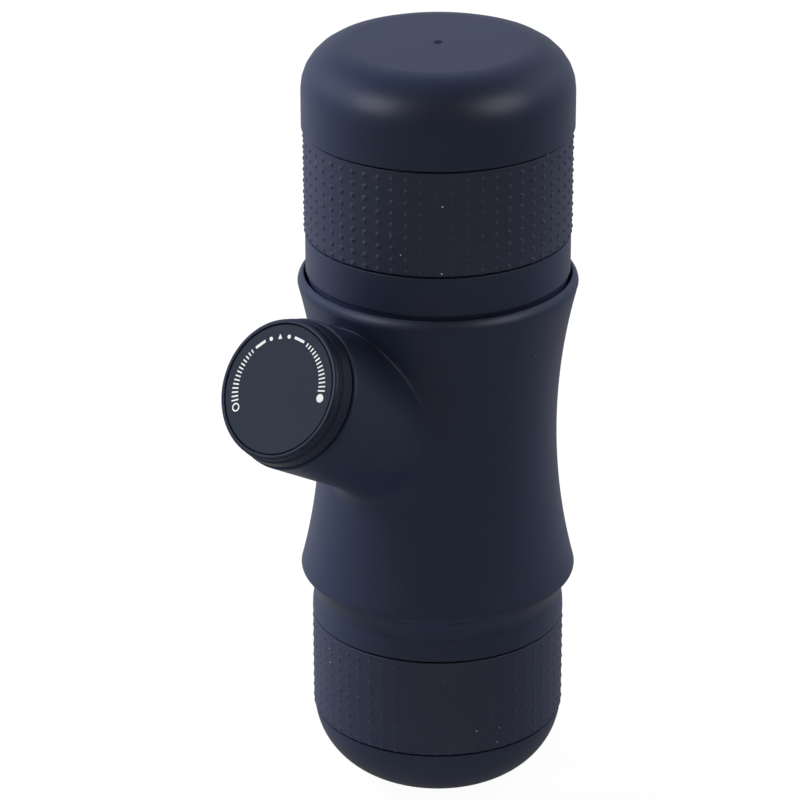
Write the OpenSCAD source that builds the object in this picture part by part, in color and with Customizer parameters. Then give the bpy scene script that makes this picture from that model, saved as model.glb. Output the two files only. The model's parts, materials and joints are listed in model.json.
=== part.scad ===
// Handheld manual espresso maker, closed for travel: a water tank below, an hourglass pump body
// with a tilted hand pump, and a drinking cup over the outlet head.
// Millimetres. Z is up along the body, the tank's foot stands on z = 0, the pump points to -Y and up.

/* [Water tank] */
// How far the tank's grip band stands proud of the body's lower lip
tank_proud = 0.45; // [0.2:0.05:0.8]
// Height from the foot to the shoulder that meets the body
tank_h = 43.5; // [38:0.5:50]
// Radius of the flat foot
foot_r = 15.7; // [13:0.1:17]
// Radius of the round edge between foot and side
tank_edge_r = 17; // [15:0.5:19]
// Thickness of the tank's floor and round edge
tank_wall = 2.4; // [1.8:0.1:2.8]
// Height of the threaded neck above the shoulder
neck_h = 14.5; // [11:0.5:18]
// Wall of the threaded neck
neck_wall = 2; // [1.5:0.1:2.6]
// Height of the tank's grip band above the foot
tank_band_z = 14.8; // [12:0.1:17]
// Width of the tank's grip band
tank_band_h = 23.7; // [16:0.1:25]

/* [Body shell] */
// Height of the body from its lower lip to its rim
body_h = 77.2; // [74:0.2:84]
// Radius of the rim and of the lower flare
rim_r = 30.8; // [28:0.1:34]
// How far the waist is drawn in from the rim
waist_depth = 4.35; // [3:0.05:5.2]
// How far the lower lip is set in from the lower flare
lip_inset = 2.85; // [2:0.05:3.4]
// Thickness of the lower lip
lip_wall = 1.35; // [1.1:0.05:1.6]
// Radius of the hollow curve above the lower lip
flare_r = 8; // [6:0.5:10]
// Rounding of the lower flare's crest
crest_r = 1.2; // [0.8:0.1:2]
// Rounding of the rim
rim_round = 1.9; // [1.4:0.1:2.4]
// Thickness of the moulded wall
body_wall = 2.4; // [1.8:0.1:2.8]
// Depth of the well that takes the cup
well_depth = 7; // [5:0.5:8]
// Thickness of the rim round the well
well_wall = 1.2; // [0.9:0.05:1.5]

/* [Pump boss] */
// Tilt of the pump above level, in degrees
pump_tilt = 30; // [28:0.5:32]
// How far below the brew chamber the pump's axis crosses the body's axis
pump_drop = 25.5; // [24:0.1:27]
// Outer radius of the boss
boss_r = 16.4; // [16:0.1:17]
// Distance from the body's axis to the boss's mouth, along the pump
boss_reach = 55.3; // [53:0.1:60]
// Blend between boss and body on the upper side
blend_top = 2.2; // [1:0.1:3]
// Blend between boss and body on the lower side
blend_low = 6; // [3:0.5:9]
// Wall of the boss round the lock ring
mouth_wall = 1.8; // [1.4:0.1:2.4]
// Step from the lock ring's counterbore to the bore that guides the knob's skirt
lock_step = 1.7; // [1.5:0.1:2.2]
// Depth of the lock ring's counterbore
lock_bore_depth = 3.8; // [3.4:0.1:5]

/* [Pump] */
// Bore radius of the pump cylinder
pump_bore_r = 5.5; // [5:0.1:5.9]
// Wall of the pump cylinder
cylinder_wall = 1.5; // [1.2:0.1:1.8]
// Radius of the piston rod
rod_r = 3; // [2.5:0.1:3.4]
// Length of the piston head
head_len = 5; // [4:0.5:6]
// Free stroke of the piston
stroke = 16; // [10:0.5:17.5]
// Length of the rod guide
guide_len = 4; // [3:0.5:5]
// Mean radius of the return spring
spring_r = 5.8; // [5:0.1:6.2]
// Wire radius of the return spring
spring_wire_r = 0.6; // [0.4:0.05:0.7]
// Turns of the return spring
spring_turns = 7; // [5:1:9]

/* [Knob] */
// How far the knob's ring is set in from the boss's side
ring_inset = 0.8; // [0.4:0.1:1.2]
// How far the knob's rim is set in from its ring
rim_inset = 0.6; // [0.4:0.1:1]
// Width of the rim round the printed face disc
rim_w = 1.1; // [0.8:0.1:1.6]
// Height of the knob above the boss's mouth
knob_h = 5.3; // [4.8:0.1:7]
// Gap between the boss's mouth and the knob's ring
knob_gap = 0.6; // [0.4:0.1:1]
// Width of the ring behind the rim
knob_ring_h = 1.9; // [1.4:0.1:2.2]
// Depth of the recess for the face disc
face_depth = 1.4; // [1:0.1:1.8]
// Wall of the knob's skirt
skirt_wall = 1.5; // [1.2:0.1:2]

/* [Valves] */
// Radius of the valve balls
ball_r = 2.3; // [2:0.1:2.5]
// Radius of the holes in the valve seats
seat_hole_r = 1.5; // [1.2:0.1:1.7]
// Height of a valve seat
seat_h = 2; // [1.6:0.1:2.2]
// Outer radius of the suction tube
suction_r = 2.4; // [2:0.1:2.6]

/* [Brew head] */
// Wall of the outlet head round the chamber's neck
head_wall = 1.6; // [1.2:0.1:2]
// Wall of the brew chamber
chamber_wall = 2.3; // [1.8:0.1:2.6]
// Depth of the brew chamber below the well's floor
chamber_drop = 9; // [8:0.2:9.6]
// Height of the chamber's threaded neck above the well's floor
chamber_neck_h = 8; // [6:0.5:9]
// Height of the filter basket
basket_h = 15.6; // [14:0.2:17]
// Wall of the filter basket
basket_wall = 0.8; // [0.5:0.1:1]
// Rings of holes in the two screens
screen_rings = 4; // [3:1:5]
// Radius of a hole in the screens
screen_hole_r = 0.5; // [0.4:0.05:0.7]
// Height of the outlet head's dome above the basket
dome_h = 12; // [9:0.5:14]
// Radius of the spout nozzle
nozzle_r = 5; // [4.2:0.1:6]
// Length of the spout nozzle
nozzle_len = 7; // [6:0.5:9]

/* [Drinking cup] */
// Gap between the cup and the well that it stands in
cup_gap = 0.6; // [0.4:0.05:0.9]
// Height of the cup
cup_h = 58.6; // [54:0.2:64]
// Rounding between the cup's side and its closed end
cup_edge_r = 10.5; // [8:0.5:12]
// How far the closed end stands proud of the cup's side
cup_proud = 0.6; // [0.3:0.05:0.8]
// Wall of the cup
cup_wall = 2.2; // [1.8:0.1:2.6]
// Height of the cup's grip band above its mouth
cup_band_z = 16.1; // [14:0.1:19]
// Width of the cup's grip band
cup_band_h = 23.9; // [18:0.1:26]

/* [Fits] */
// Thickness of the grip bands
band_t = 1.2; // [0.8:0.1:1.4]
// Width of the seams beside the grip bands
seam = 0.25; // [0.15:0.05:0.4]
// Gap between parts that come apart
part_gap = 0.3; // [0.2:0.05:0.4]
// Radial clearance of sliding and turning fits
slide_gap = 0.06; // [0.03:0.01:0.1]

/* [Hidden] */
$fn = 96;
eps = 0.01;

// Colours, as seen in the photograph or usual for the hidden pieces
shell_colour = [0.14, 0.16, 0.21];
band_colour = [0.12, 0.14, 0.18];
face_colour = [0.19, 0.22, 0.26];
steel_colour = [0.72, 0.73, 0.75];
pump_colour = [0.30, 0.31, 0.33];
seal_colour = [0.55, 0.20, 0.14];
clear_colour = [0.80, 0.82, 0.84];

// Radii, from the rim inwards: waist, lip, tank, well, cup, outlet head and brew chamber
waist_r = rim_r - waist_depth;
lip_r = rim_r - lip_inset;
tank_r = lip_r + tank_proud;
well_r = rim_r - well_wall;
cup_r = well_r - cup_gap;
cup_bore_r = cup_r - cup_wall;
head_gap = 0.6;
head_r = cup_bore_r - head_gap;
head_bore_r = head_r - head_wall;
chamber_r = head_bore_r - part_gap;
chamber_bore_r = chamber_r - chamber_wall;

// Radii of the boss and of the knob in its mouth
lock_bore_r = boss_r - mouth_wall;
skirt_bore_r = lock_bore_r - lock_step;
knob_ring_r = boss_r - ring_inset;
knob_r = knob_ring_r - rim_inset;
face_r = knob_r - rim_w;

// Tank: the round edge's centre, where the edge ends, and the neck
tank_band_proud = 0.2;
edge_cr = tank_r - tank_band_proud - tank_edge_r;
edge_cz = sqrt(pow(tank_edge_r, 2) - pow(foot_r - edge_cr, 2));
edge_start = -acos((foot_r - edge_cr) / tank_edge_r);
edge_end = min(0, asin((tank_band_z - edge_cz) / tank_edge_r));
socket_r = lip_r - lip_wall;
thread_gap = 0.4;
neck_r = socket_r - thread_gap;
tank_bore_r = neck_r - neck_wall;
neck_top_z = tank_h + neck_h;
tank_core_r = tank_r - band_t;

// Body: lip, rim, and the two crests that the waist's arc joins
lip_z = tank_h + part_gap;
rim_z = lip_z + body_h;
flare_angle = acos(1 - (rim_r - lip_r) / (flare_r + crest_r));
low_crest_z = lip_z + (flare_r + crest_r) * sin(flare_angle);
top_crest_z = rim_z - rim_round;
waist_z = (low_crest_z + top_crest_z) / 2;
waist_span = (top_crest_z - low_crest_z) / 2;
waist_arc_r = (pow(waist_span, 2) + pow(waist_depth, 2)) / (2 * waist_depth);

// Tank socket: collar, gasket and pump deck, from the lip upwards
collar_z = lip_z + 4.2;
collar_wall = 1;
collar_r = neck_r + part_gap + collar_wall;
gasket_t = 1.5;
gasket_z = neck_top_z + part_gap;
deck_t = 3.5;
deck_z = gasket_z + gasket_t;
deck_top_z = deck_z + deck_t;
deck_r = neck_r;
screw_ring_r = deck_r - 3.8;
screw_r = 1;
screw_head_r = 1.8;
screw_head_h = 1.4;
screw_len = 11;
pillar_r = 3.2;
pillar_h = 12.5;
screw_angles = [90, 210, 330];
vent_r = 2.2;
vent_x = 13;
vent_lip = 0.7;
vent_lip_t = 0.9;

// Brew head: well, chamber, screen, gasket and basket, from the well's floor
well_z = rim_z - well_depth;
chamber_z = well_z - chamber_drop;
chamber_floor = 2;
screen_t = 0.6;
screen_gap = 0.6;
screen_z = chamber_z + chamber_floor + screen_gap;
flange_t = 2;
flange_r = chamber_r + 2;
face_gasket_t = 1;
basket_gasket_z = screen_z + screen_t;
basket_z = basket_gasket_z + face_gasket_t + part_gap;
basket_flange_r = chamber_bore_r - part_gap;
basket_ledge = 2.4;
basket_r = basket_flange_r - basket_ledge;
basket_flange_t = 0.8;
basket_lip = 1;
basket_top_z = basket_z + basket_h;
chamber_neck_z = well_z + chamber_neck_h;
cavity_top_z = chamber_z - 1;

// Outlet head: skirt over the neck, press ring inside it, dome and nozzle
skirt_z = well_z + part_gap;
press_ring_r = chamber_bore_r - part_gap;
press_ring_wall = 1.6;
head_ceiling_z = basket_top_z + 0.6;
head_gasket_z = chamber_neck_z + part_gap;
head_gasket_t = 1.2;
dome_z = head_gasket_z + head_gasket_t + 4.5;
dome_top_z = head_ceiling_z + dome_h;
dome_edge_r = 7;
dome_wall = 3;
press_z = basket_z + basket_flange_t + 0.2;
funnel_r = press_ring_r - press_ring_wall - 3;
nozzle_bore_r = 2.2;
nozzle_z = dome_top_z - dome_wall;
ring_r = 0.8;
ring_sunk = 0.3;
ring_z = skirt_z + 4.5;

// Cup: mouth, inside and closed end
cup_z = well_z + part_gap;
cup_top_z = cup_z + cup_h;
cup_edge_cr = cup_r + cup_proud - cup_edge_r;
cup_top_t = 2.4;
cup_inner_edge_r = cup_edge_r - 1.8;
gate_r = 1.5;
gate_depth = 0.3;
cup_band_low_z = cup_z + cup_band_z;
cup_band_top_z = cup_band_low_z + cup_band_h;
cup_band_r = cup_r + 0.25;
cup_core_r = cup_band_r - band_t;

// Pump: stations along its axis, measured from the body's axis
pump_z = chamber_z - pump_drop;
cylinder_r = pump_bore_r + cylinder_wall;
chamber_clear = 1.5;
guide_end_s = (pump_drop - chamber_clear - cylinder_r * cos(pump_tilt)) / sin(pump_tilt);
guide_s = guide_end_s - guide_len;
guide_hole_r = cylinder_r + 0.4;
end_gap = 1;
head_s = guide_s - end_gap - stroke - head_len;
seal_t = 0.8;
cylinder_s = head_s - 0.6;
seal_s = cylinder_s - seal_t;
bore_wall = 2;
skirt_bore_s = (chamber_r + 0.1 + bore_wall + skirt_bore_r * sin(pump_tilt)) / cos(pump_tilt);
lock_bore_s = boss_reach - lock_bore_depth;
knob_face_s = boss_reach + knob_h;
knob_ring_s = boss_reach + knob_gap;
knob_rim_s = knob_ring_s + knob_ring_h;
face_floor_s = knob_face_s - face_depth;
web_s = face_floor_s - 2.7;
rod_end_s = web_s - 0.2;
knob_edge = 0.7;
ring_edge = 0.3;
knob_groove = 0.35;
screw_hole_r = 1.7;
screw_sink_r = 3.2;
screw_sink = 1.6;
thread_r = 1.5;
thread_len = 6.5;
skirt_r = skirt_bore_r - part_gap;
skirt_s = skirt_bore_s + 0.75;
lug_r = lock_bore_r - 0.9;
lug_t = 1.1;
lug_s = lock_bore_s + part_gap;
lug_angle = 20;
lock_ring_s = lug_s + lug_t + 0.2;
lock_ring_wall = 0.6;
lock_land_angle = 100;
rod_seal_t = 1.2;
rod_seal_r = rod_r + 1.6;
piston_wire_r = 0.69;
piston_seal_r = pump_bore_r - slide_gap - piston_wire_r;
spring_s = guide_end_s + 0.3;
spring_len = web_s - 0.9 - spring_s;
mouth_round = 0.8;
boss_sides = 48;
blend_steps = 5;

// Valve block and what stacks in it, on the body's axis
block_r = 9.5;
block_stub_r = 6;
block_gap = 0.5;
stub_r = cylinder_r + 2.2;
stub_len = 15;
seat_r = 4;
cage_gap = 0.15;
ball_rise = sqrt(pow(ball_r, 2) - pow(seat_hole_r, 2)) + cage_gap;
bore_end = 3;
valve_wall = 2;
cage_len = 14;
suction_socket = 4;
inlet_cage_top_z = pump_z - pump_bore_r / cos(pump_tilt) - valve_wall;
inlet_seat_z = inlet_cage_top_z - cage_len;
inlet_ball_z = inlet_seat_z + seat_h + ball_rise;
block_stub_z = inlet_seat_z - suction_socket;
outlet_seat_z = pump_z + (seat_r + cylinder_r * sin(pump_tilt)) * tan(pump_tilt)
    + cylinder_r * cos(pump_tilt) + 0.4;
outlet_ball_z = outlet_seat_z + seat_h + ball_rise;
plug_t = 1.6;
block_top_z = chamber_z - block_gap;
plug_z = block_top_z - plug_t;
valve_spring_r = 1.9;
valve_wire_r = 0.3;
valve_spring_turns = 3;
delivery_r = 2.6;
delivery_bore_r = 1.6;
suction_bore_r = suction_r - 0.8;
strainer_r = 4;
strainer_h = 5;
strainer_floor = 1;
strainer_socket = 2;
strainer_slot = 0.8;
strainer_z = edge_cz - (tank_edge_r - tank_wall) + 1;

// Points along an arc, from angle a0 to angle a1
function arc(cr, cz, r, a0, a1, n = 16) =
    [for (i = [0:n]) let (a = a0 + (a1 - a0) * i / n) [cr + r * cos(a), cz + r * sin(a)]];

// Outer radius of the body at height z, between its two crests
function body_r(z) =
    let (h = min(abs(z - waist_z), waist_span))
    waist_r + waist_arc_r - sqrt(pow(waist_arc_r, 2) - pow(h, 2));

// Points on the boss: station s along the pump, radius r, angle a from the upper side
function pump_point(s, r, a) = [
    r * sin(a),
    -s * cos(pump_tilt) + r * cos(a) * sin(pump_tilt),
    pump_z + s * sin(pump_tilt) + r * cos(a) * cos(pump_tilt)];

// How far a point stands outside the body
function outside(p) = norm([p[0], p[1]]) - body_r(p[2]);

// Station at which the boss's side at angle a comes out of the body, by halving
function root_s(a, low = 5, high = 70, n = 20) =
    let (s = (low + high) / 2)
    n == 0 ? s
    : outside(pump_point(s, boss_r, a)) > 0 ? root_s(a, low, s, n - 1) : root_s(a, s, high, n - 1);

// Size of the blend at angle a
function blend(a) = blend_top + (blend_low - blend_top) * (1 - cos(a)) / 2;

// Where the blend lands, just under the body's surface
function blend_foot(root, a, sunk = 0.25) =
    let (p = root + blend(a) * [sin(a), cos(a) * sin(pump_tilt), cos(a) * cos(pump_tilt)],
        z = min(p[2], top_crest_z),
        k = (body_r(z) - sunk) / norm([p[0], p[1]]))
    [p[0] * k, p[1] * k, z];

// The blend's curve, from the boss's side (t = 0) down to the body (t = 1)
function blend_point(a, t) =
    let (s = root_s(a), root = pump_point(s, boss_r, a), top = pump_point(s + blend(a), boss_r, a))
    pow(1 - t, 2) * top + 2 * t * (1 - t) * root + t * t * blend_foot(root, a);

// Triangles between rings of n points, with a centre point at each end
function ring_faces(rings, n) = concat(
    [for (j = [0:rings - 2]) for (i = [0:n - 1]) let (k = (i + 1) % n)
        [j * n + i, j * n + k, (j + 1) * n + k]],
    [for (j = [0:rings - 2]) for (i = [0:n - 1]) let (k = (i + 1) % n)
        [j * n + i, (j + 1) * n + k, (j + 1) * n + i]],
    [for (i = [0:n - 1]) [(i + 1) % n, i, rings * n]],
    [for (i = [0:n - 1]) [(rings - 1) * n + i, (rings - 1) * n + (i + 1) % n, rings * n + 1]]);

// A helix of wire: its centre line, and the ring of points round each place on it
coil_steps = 12;
coil_sides = 6;
function coil_line(r, len, turns, i) =
    let (a = 360 * i / coil_steps) [r * cos(a), r * sin(a), len * i / (turns * coil_steps)];
function coil_ring(r, wire, len, turns, i) =
    let (a = 360 * i / coil_steps, c = coil_line(r, len, turns, i))
    [for (k = [0:coil_sides - 1]) let (b = 360 * k / coil_sides)
        c + wire * [cos(b) * cos(a), cos(b) * sin(a), sin(b)]];
function coil_gap(r, wire, len, turns) =
    norm(coil_line(r, len, turns, coil_steps) - coil_line(r, len, turns, 0)) - 2 * wire;

module coil(r, wire, len, turns) {
    count = turns * coil_steps + 1;
    run = len - 2 * wire;
    points = concat(
        [for (i = [0:count - 1]) for (p = coil_ring(r, wire, run, turns, i)) p],
        [coil_line(r, run, turns, 0), coil_line(r, run, turns, count - 1)]);
    translate([0, 0, wire]) polyhedron(points, ring_faces(count, coil_sides), convexity = 10);
    echo(str("least gap between turns: ", coil_gap(r, wire, run, turns), " mm"));
}

// Lays what is drawn along Z on the pump's axis, s from the body's axis; Y becomes the upper side
module on_pump(s = 0)
    translate([0, 0, pump_z]) rotate([90 - pump_tilt, 0, 0]) translate([0, 0, s]) children();

module tube(r, bore, h) difference() {
    cylinder(r = r, h = h);
    translate([0, 0, -eps]) cylinder(r = bore, h = h + 2 * eps);
}

module o_ring(r, wire) rotate_extrude() translate([r, 0]) circle(wire, $fn = 24);

// A round plate with rings of holes, the first ring being the one in the centre
module screen(r, hole_field_r) difference() {
    cylinder(r = r, h = screen_t);
    for (ring = [0:screen_rings - 1]) {
        count = max(1, 6 * ring);
        for (i = [0:count - 1]) rotate(360 * i / count)
            translate([hole_field_r * ring / (screen_rings - 1), 0, -eps])
                cylinder(r = screen_hole_r, h = screen_t + 2 * eps, $fn = 16);
    }
}

// ---- Water tank ----

module tank_outline() {
    edge = arc(edge_cr, edge_cz, tank_edge_r, edge_start, edge_end);
    side = edge_end < 0 ? [] : [[tank_r - tank_band_proud, tank_band_z]];
    polygon(concat([[0, 0]], edge, side, [
        [tank_core_r, tank_band_z],
        [tank_core_r, tank_band_z + tank_band_h],
        [tank_r, tank_band_z + tank_band_h],
        [lip_r, tank_h],
        [neck_r, tank_h],
        [neck_r, neck_top_z],
        [0, neck_top_z]]));
}

module tank_hollow() intersection() {
    union() {
        translate([edge_cr, edge_cz]) circle(tank_edge_r - tank_wall);
        translate([0, edge_cz - tank_edge_r + tank_wall]) square([edge_cr, neck_top_z]);
        translate([0, edge_cz]) square([tank_bore_r, neck_top_z]);
    }
    square([tank_bore_r, neck_top_z + 1]);
}

module water_tank() color(shell_colour) rotate_extrude() difference() {
    tank_outline();
    tank_hollow();
}

module tank_grip_band() color(band_colour)
    translate([0, 0, tank_band_z + seam]) tube(tank_r, tank_core_r, tank_band_h - 2 * seam);

// ---- Body shell ----

module body_outline() {
    flare = arc(lip_r + flare_r, lip_z, flare_r, 180, 180 - flare_angle, 8);
    crest = arc(rim_r - crest_r, low_crest_z, crest_r, -flare_angle, 0, 4);
    rim = arc(rim_r - rim_round, top_crest_z, rim_round, 0, 90, 8);
    difference() {
        polygon(concat([[0, lip_z]], flare, crest, rim, [[0, rim_z]]));
        translate([waist_r + waist_arc_r, waist_z]) circle(waist_arc_r, $fn = 720);
    }
}

// What is hollow inside the body, from the tank's socket up to the cup's well
module body_hollow() {
    translate([0, lip_z - 1]) square([socket_r, collar_z + 1 - lip_z]);
    translate([0, collar_z - eps]) square([collar_r, gasket_z - collar_z + eps]);
    translate([0, gasket_z - eps]) square([deck_r + 0.1, deck_top_z - gasket_z + eps]);
    difference() {
        translate([0, deck_top_z - eps]) square([rim_r, cavity_top_z - deck_top_z + eps]);
        translate([waist_r + waist_arc_r, waist_z]) circle(waist_arc_r + body_wall, $fn = 720);
    }
    translate([0, cavity_top_z - eps]) square([chamber_r + 0.1, well_z - cavity_top_z]);
    translate([0, well_z - flange_t]) square([flange_r + 0.1, flange_t + eps]);
    translate([0, well_z]) square([well_r, well_depth + 1]);
}

// The boss with its blend: rings from the body's surface out to the rounded mouth
module boss() {
    blend_rings = [for (j = [0:blend_steps]) [for (i = [0:boss_sides - 1])
        blend_point(360 * i / boss_sides, 1 - j / blend_steps)]];
    mouth_rings = [for (b = [0, 45, 90]) [for (i = [0:boss_sides - 1])
        pump_point(boss_reach - mouth_round * (1 - sin(b)), boss_r - mouth_round * (1 - cos(b)),
            360 * i / boss_sides)]];
    rings = concat(blend_rings, mouth_rings);
    points = concat([for (ring = rings) for (p = ring) p],
        [pump_point(0, 0, 0), pump_point(boss_reach, 0, 0)]);
    polyhedron(points, ring_faces(len(rings), boss_sides), convexity = 4);
}

module boss_bores() {
    on_pump(stub_len) cylinder(r = guide_hole_r, h = boss_reach);
    on_pump(skirt_bore_s) cylinder(r = skirt_bore_r, h = boss_reach);
    on_pump(lock_bore_s) cylinder(r = lock_bore_r, h = lock_bore_depth + 5);
}

// Pillars that take the deck's screws, moulded onto the inside of the wall
module deck_pillars() for (a = screw_angles) rotate(a) translate([screw_ring_r, 0, deck_top_z])
    difference() {
        cylinder(r = pillar_r, h = pillar_h);
        translate([0, 0, -eps]) cylinder(r = screw_r, h = screw_len - deck_t + 1, $fn = 24);
    }

module body_shell() color(shell_colour) {
    difference() {
        union() {
            rotate_extrude() body_outline();
            boss();
        }
        rotate_extrude() body_hollow();
        boss_bores();
    }
    deck_pillars();
}

// ---- Tank socket and pump deck ----

module tank_collar() color(steel_colour)
    translate([0, 0, collar_z]) tube(collar_r, collar_r - collar_wall, gasket_z - collar_z);

module tank_gasket() color(seal_colour)
    translate([0, 0, gasket_z]) tube(deck_r - 0.2, tank_bore_r + 0.3, gasket_t);

module pump_deck() color(pump_colour) difference() {
    translate([0, 0, deck_z]) cylinder(r = deck_r, h = deck_t);
    translate([0, 0, deck_z - 1]) cylinder(r = block_stub_r, h = deck_t + 2);
    translate([vent_x, 0, deck_z - 1]) cylinder(r = vent_r, h = deck_t + 2, $fn = 32);
    for (a = screw_angles) rotate(a) translate([screw_ring_r, 0, deck_z - 1])
        cylinder(r = screw_r + 0.2, h = deck_t + 2, $fn = 24);
}

module deck_screws() color(steel_colour)
    for (a = screw_angles) rotate(a) translate([screw_ring_r, 0, deck_z]) {
        translate([0, 0, -screw_head_h]) cylinder(r = screw_head_r, h = screw_head_h, $fn = 32);
        translate([0, 0, -eps]) cylinder(r = screw_r, h = screw_len + eps, $fn = 24);
    }

// A plug with a rubber lip that lets air into the tank as the water leaves
module vent_valve() color(seal_colour) translate([vent_x, 0, deck_z]) {
    translate([0, 0, -vent_lip_t]) cylinder(r = vent_r + 2 * vent_lip, h = vent_lip_t, $fn = 48);
    translate([0, 0, -eps]) cylinder(r = vent_r, h = deck_t + eps, $fn = 32);
    translate([0, 0, deck_t - eps]) cylinder(r = vent_r + vent_lip, h = vent_lip_t + eps, $fn = 48);
}

// ---- Valve block and valves ----

module valve_block() color(pump_colour) difference() {
    union() {
        translate([0, 0, deck_top_z]) cylinder(r = block_r, h = block_top_z - deck_top_z);
        translate([0, 0, block_stub_z])
            cylinder(r = block_stub_r, h = deck_top_z - block_stub_z + eps);
        on_pump() cylinder(r = stub_r, h = stub_len);
    }
    on_pump(-bore_end) cylinder(r = pump_bore_r, h = seal_s + bore_end + eps);
    on_pump(seal_s) cylinder(r = cylinder_r, h = stub_len);
    translate([0, 0, block_stub_z - 1])
        cylinder(r = suction_r, h = inlet_seat_z - block_stub_z + 1 + eps, $fn = 48);
    translate([0, 0, inlet_seat_z]) cylinder(r = seat_r, h = inlet_cage_top_z - inlet_seat_z);
    translate([0, 0, inlet_cage_top_z - 1])
        cylinder(r = seat_hole_r, h = outlet_seat_z - inlet_cage_top_z + 2, $fn = 48);
    translate([0, 0, outlet_seat_z]) cylinder(r = seat_r, h = block_top_z - outlet_seat_z + 1);
}

module valve_seat(z) color(clear_colour) translate([0, 0, z])
    tube(seat_r, seat_hole_r, seat_h, $fn = 48);

module valve_ball(z) color(steel_colour) translate([0, 0, z]) sphere(ball_r, $fn = 48);

module valve_spring(ball_z, end_z) color(steel_colour) translate([0, 0, ball_z + ball_r + 0.15])
    coil(valve_spring_r, valve_wire_r, end_z - ball_z - ball_r - 0.25, valve_spring_turns);

module inlet_valve_seat() valve_seat(inlet_seat_z);

module inlet_valve_ball() valve_ball(inlet_ball_z);

module inlet_valve_spring() valve_spring(inlet_ball_z, inlet_cage_top_z);

module outlet_valve_seat() valve_seat(outlet_seat_z);

module outlet_valve_ball() valve_ball(outlet_ball_z);

module outlet_valve_spring() valve_spring(outlet_ball_z, plug_z);

module suction_tube() color(clear_colour) translate([0, 0, strainer_z + strainer_h - strainer_socket])
    tube(suction_r, suction_bore_r, inlet_seat_z - strainer_z - strainer_h + strainer_socket, $fn = 48);

// A slotted cup on the lower end of the suction tube
module suction_strainer() color(clear_colour) translate([0, 0, strainer_z]) difference() {
    cylinder(r = strainer_r, h = strainer_h, $fn = 48);
    translate([0, 0, strainer_h - strainer_socket])
        cylinder(r = suction_r, h = strainer_socket + 1, $fn = 48);
    translate([0, 0, strainer_floor]) cylinder(r = suction_bore_r, h = strainer_h, $fn = 48);
    for (a = [0:60:300]) rotate(a) translate([0, -strainer_slot / 2, strainer_floor])
        cube([strainer_r + 1, strainer_slot, strainer_h - strainer_socket - strainer_floor - 0.4]);
}

module delivery_tube() color(clear_colour) difference() {
    union() {
        translate([0, 0, plug_z]) cylinder(r = seat_r, h = plug_t, $fn = 48);
        translate([0, 0, plug_z + plug_t - eps])
            cylinder(r = delivery_r, h = chamber_z + chamber_floor - plug_z - plug_t + eps, $fn = 48);
    }
    translate([0, 0, plug_z - 1])
        cylinder(r = delivery_bore_r, h = chamber_z + chamber_floor - plug_z + 2, $fn = 48);
}

// ---- Pump cylinder, piston and spring ----

module pump_cylinder() color(clear_colour)
    on_pump(cylinder_s) tube(cylinder_r, pump_bore_r, guide_s - cylinder_s);

module cylinder_o_ring() color(seal_colour)
    on_pump(seal_s) tube(cylinder_r, pump_bore_r + 0.2, seal_t);

module rod_guide() color(pump_colour) on_pump(guide_s) difference() {
    cylinder(r = cylinder_r, h = guide_len);
    translate([0, 0, -1]) cylinder(r = rod_r + slide_gap, h = guide_len + 2);
    translate([0, 0, -eps]) cylinder(r = rod_seal_r, h = rod_seal_t + eps);
}

module rod_seal() color(seal_colour)
    on_pump(guide_s) tube(rod_seal_r, rod_r + slide_gap, rod_seal_t);

module piston_rod() color(steel_colour) on_pump(head_s + head_len) difference() {
    cylinder(r = rod_r, h = rod_end_s - head_s - head_len);
    translate([0, 0, rod_end_s - head_s - head_len - thread_len - 0.5])
        cylinder(r = thread_r, h = thread_len + 1, $fn = 32);
}

module piston_head() color(pump_colour) on_pump(head_s) difference() {
    cylinder(r = pump_bore_r - 0.2, h = head_len);
    translate([0, 0, head_len / 2]) o_ring(piston_seal_r, piston_wire_r + 0.02);
}

module piston_seal() color(seal_colour)
    on_pump(head_s + head_len / 2) o_ring(piston_seal_r, piston_wire_r);

module return_spring() color(steel_colour)
    on_pump(spring_s) coil(spring_r, spring_wire_r, spring_len, spring_turns);

// Screw that holds the knob on the rod and lets it turn
module knob_screw() color(steel_colour) {
    on_pump(face_floor_s - screw_sink + 0.1)
        cylinder(r = screw_sink_r - 0.4, h = screw_sink - 0.2, $fn = 48);
    on_pump(rod_end_s - thread_len)
        cylinder(r = thread_r, h = face_floor_s - screw_sink + 0.1 + eps - rod_end_s + thread_len, $fn = 32);
}

// ---- Lock ring and knob ----

// Ring in the boss's mouth with two lands that the skirt's lugs turn behind
module lock_ring() color(pump_colour) on_pump(lock_ring_s) {
    depth = boss_reach - 0.1 - lock_ring_s;
    tube(lock_bore_r, lock_bore_r - lock_ring_wall, depth);
    for (side = [0, 180]) rotate([0, 0, side - lock_land_angle / 2])
        rotate_extrude(angle = lock_land_angle)
            translate([skirt_r + part_gap, 0])
                square([lock_bore_r - lock_ring_wall / 2 - skirt_r - part_gap, depth]);
}

module skirt_lugs() for (side = [90, 270]) rotate([0, 0, side - lug_angle / 2])
    translate([0, 0, lug_s - skirt_s]) rotate_extrude(angle = lug_angle)
        translate([skirt_r - 0.5, 0]) square([lug_r - skirt_r + 0.5, lug_t]);

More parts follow.
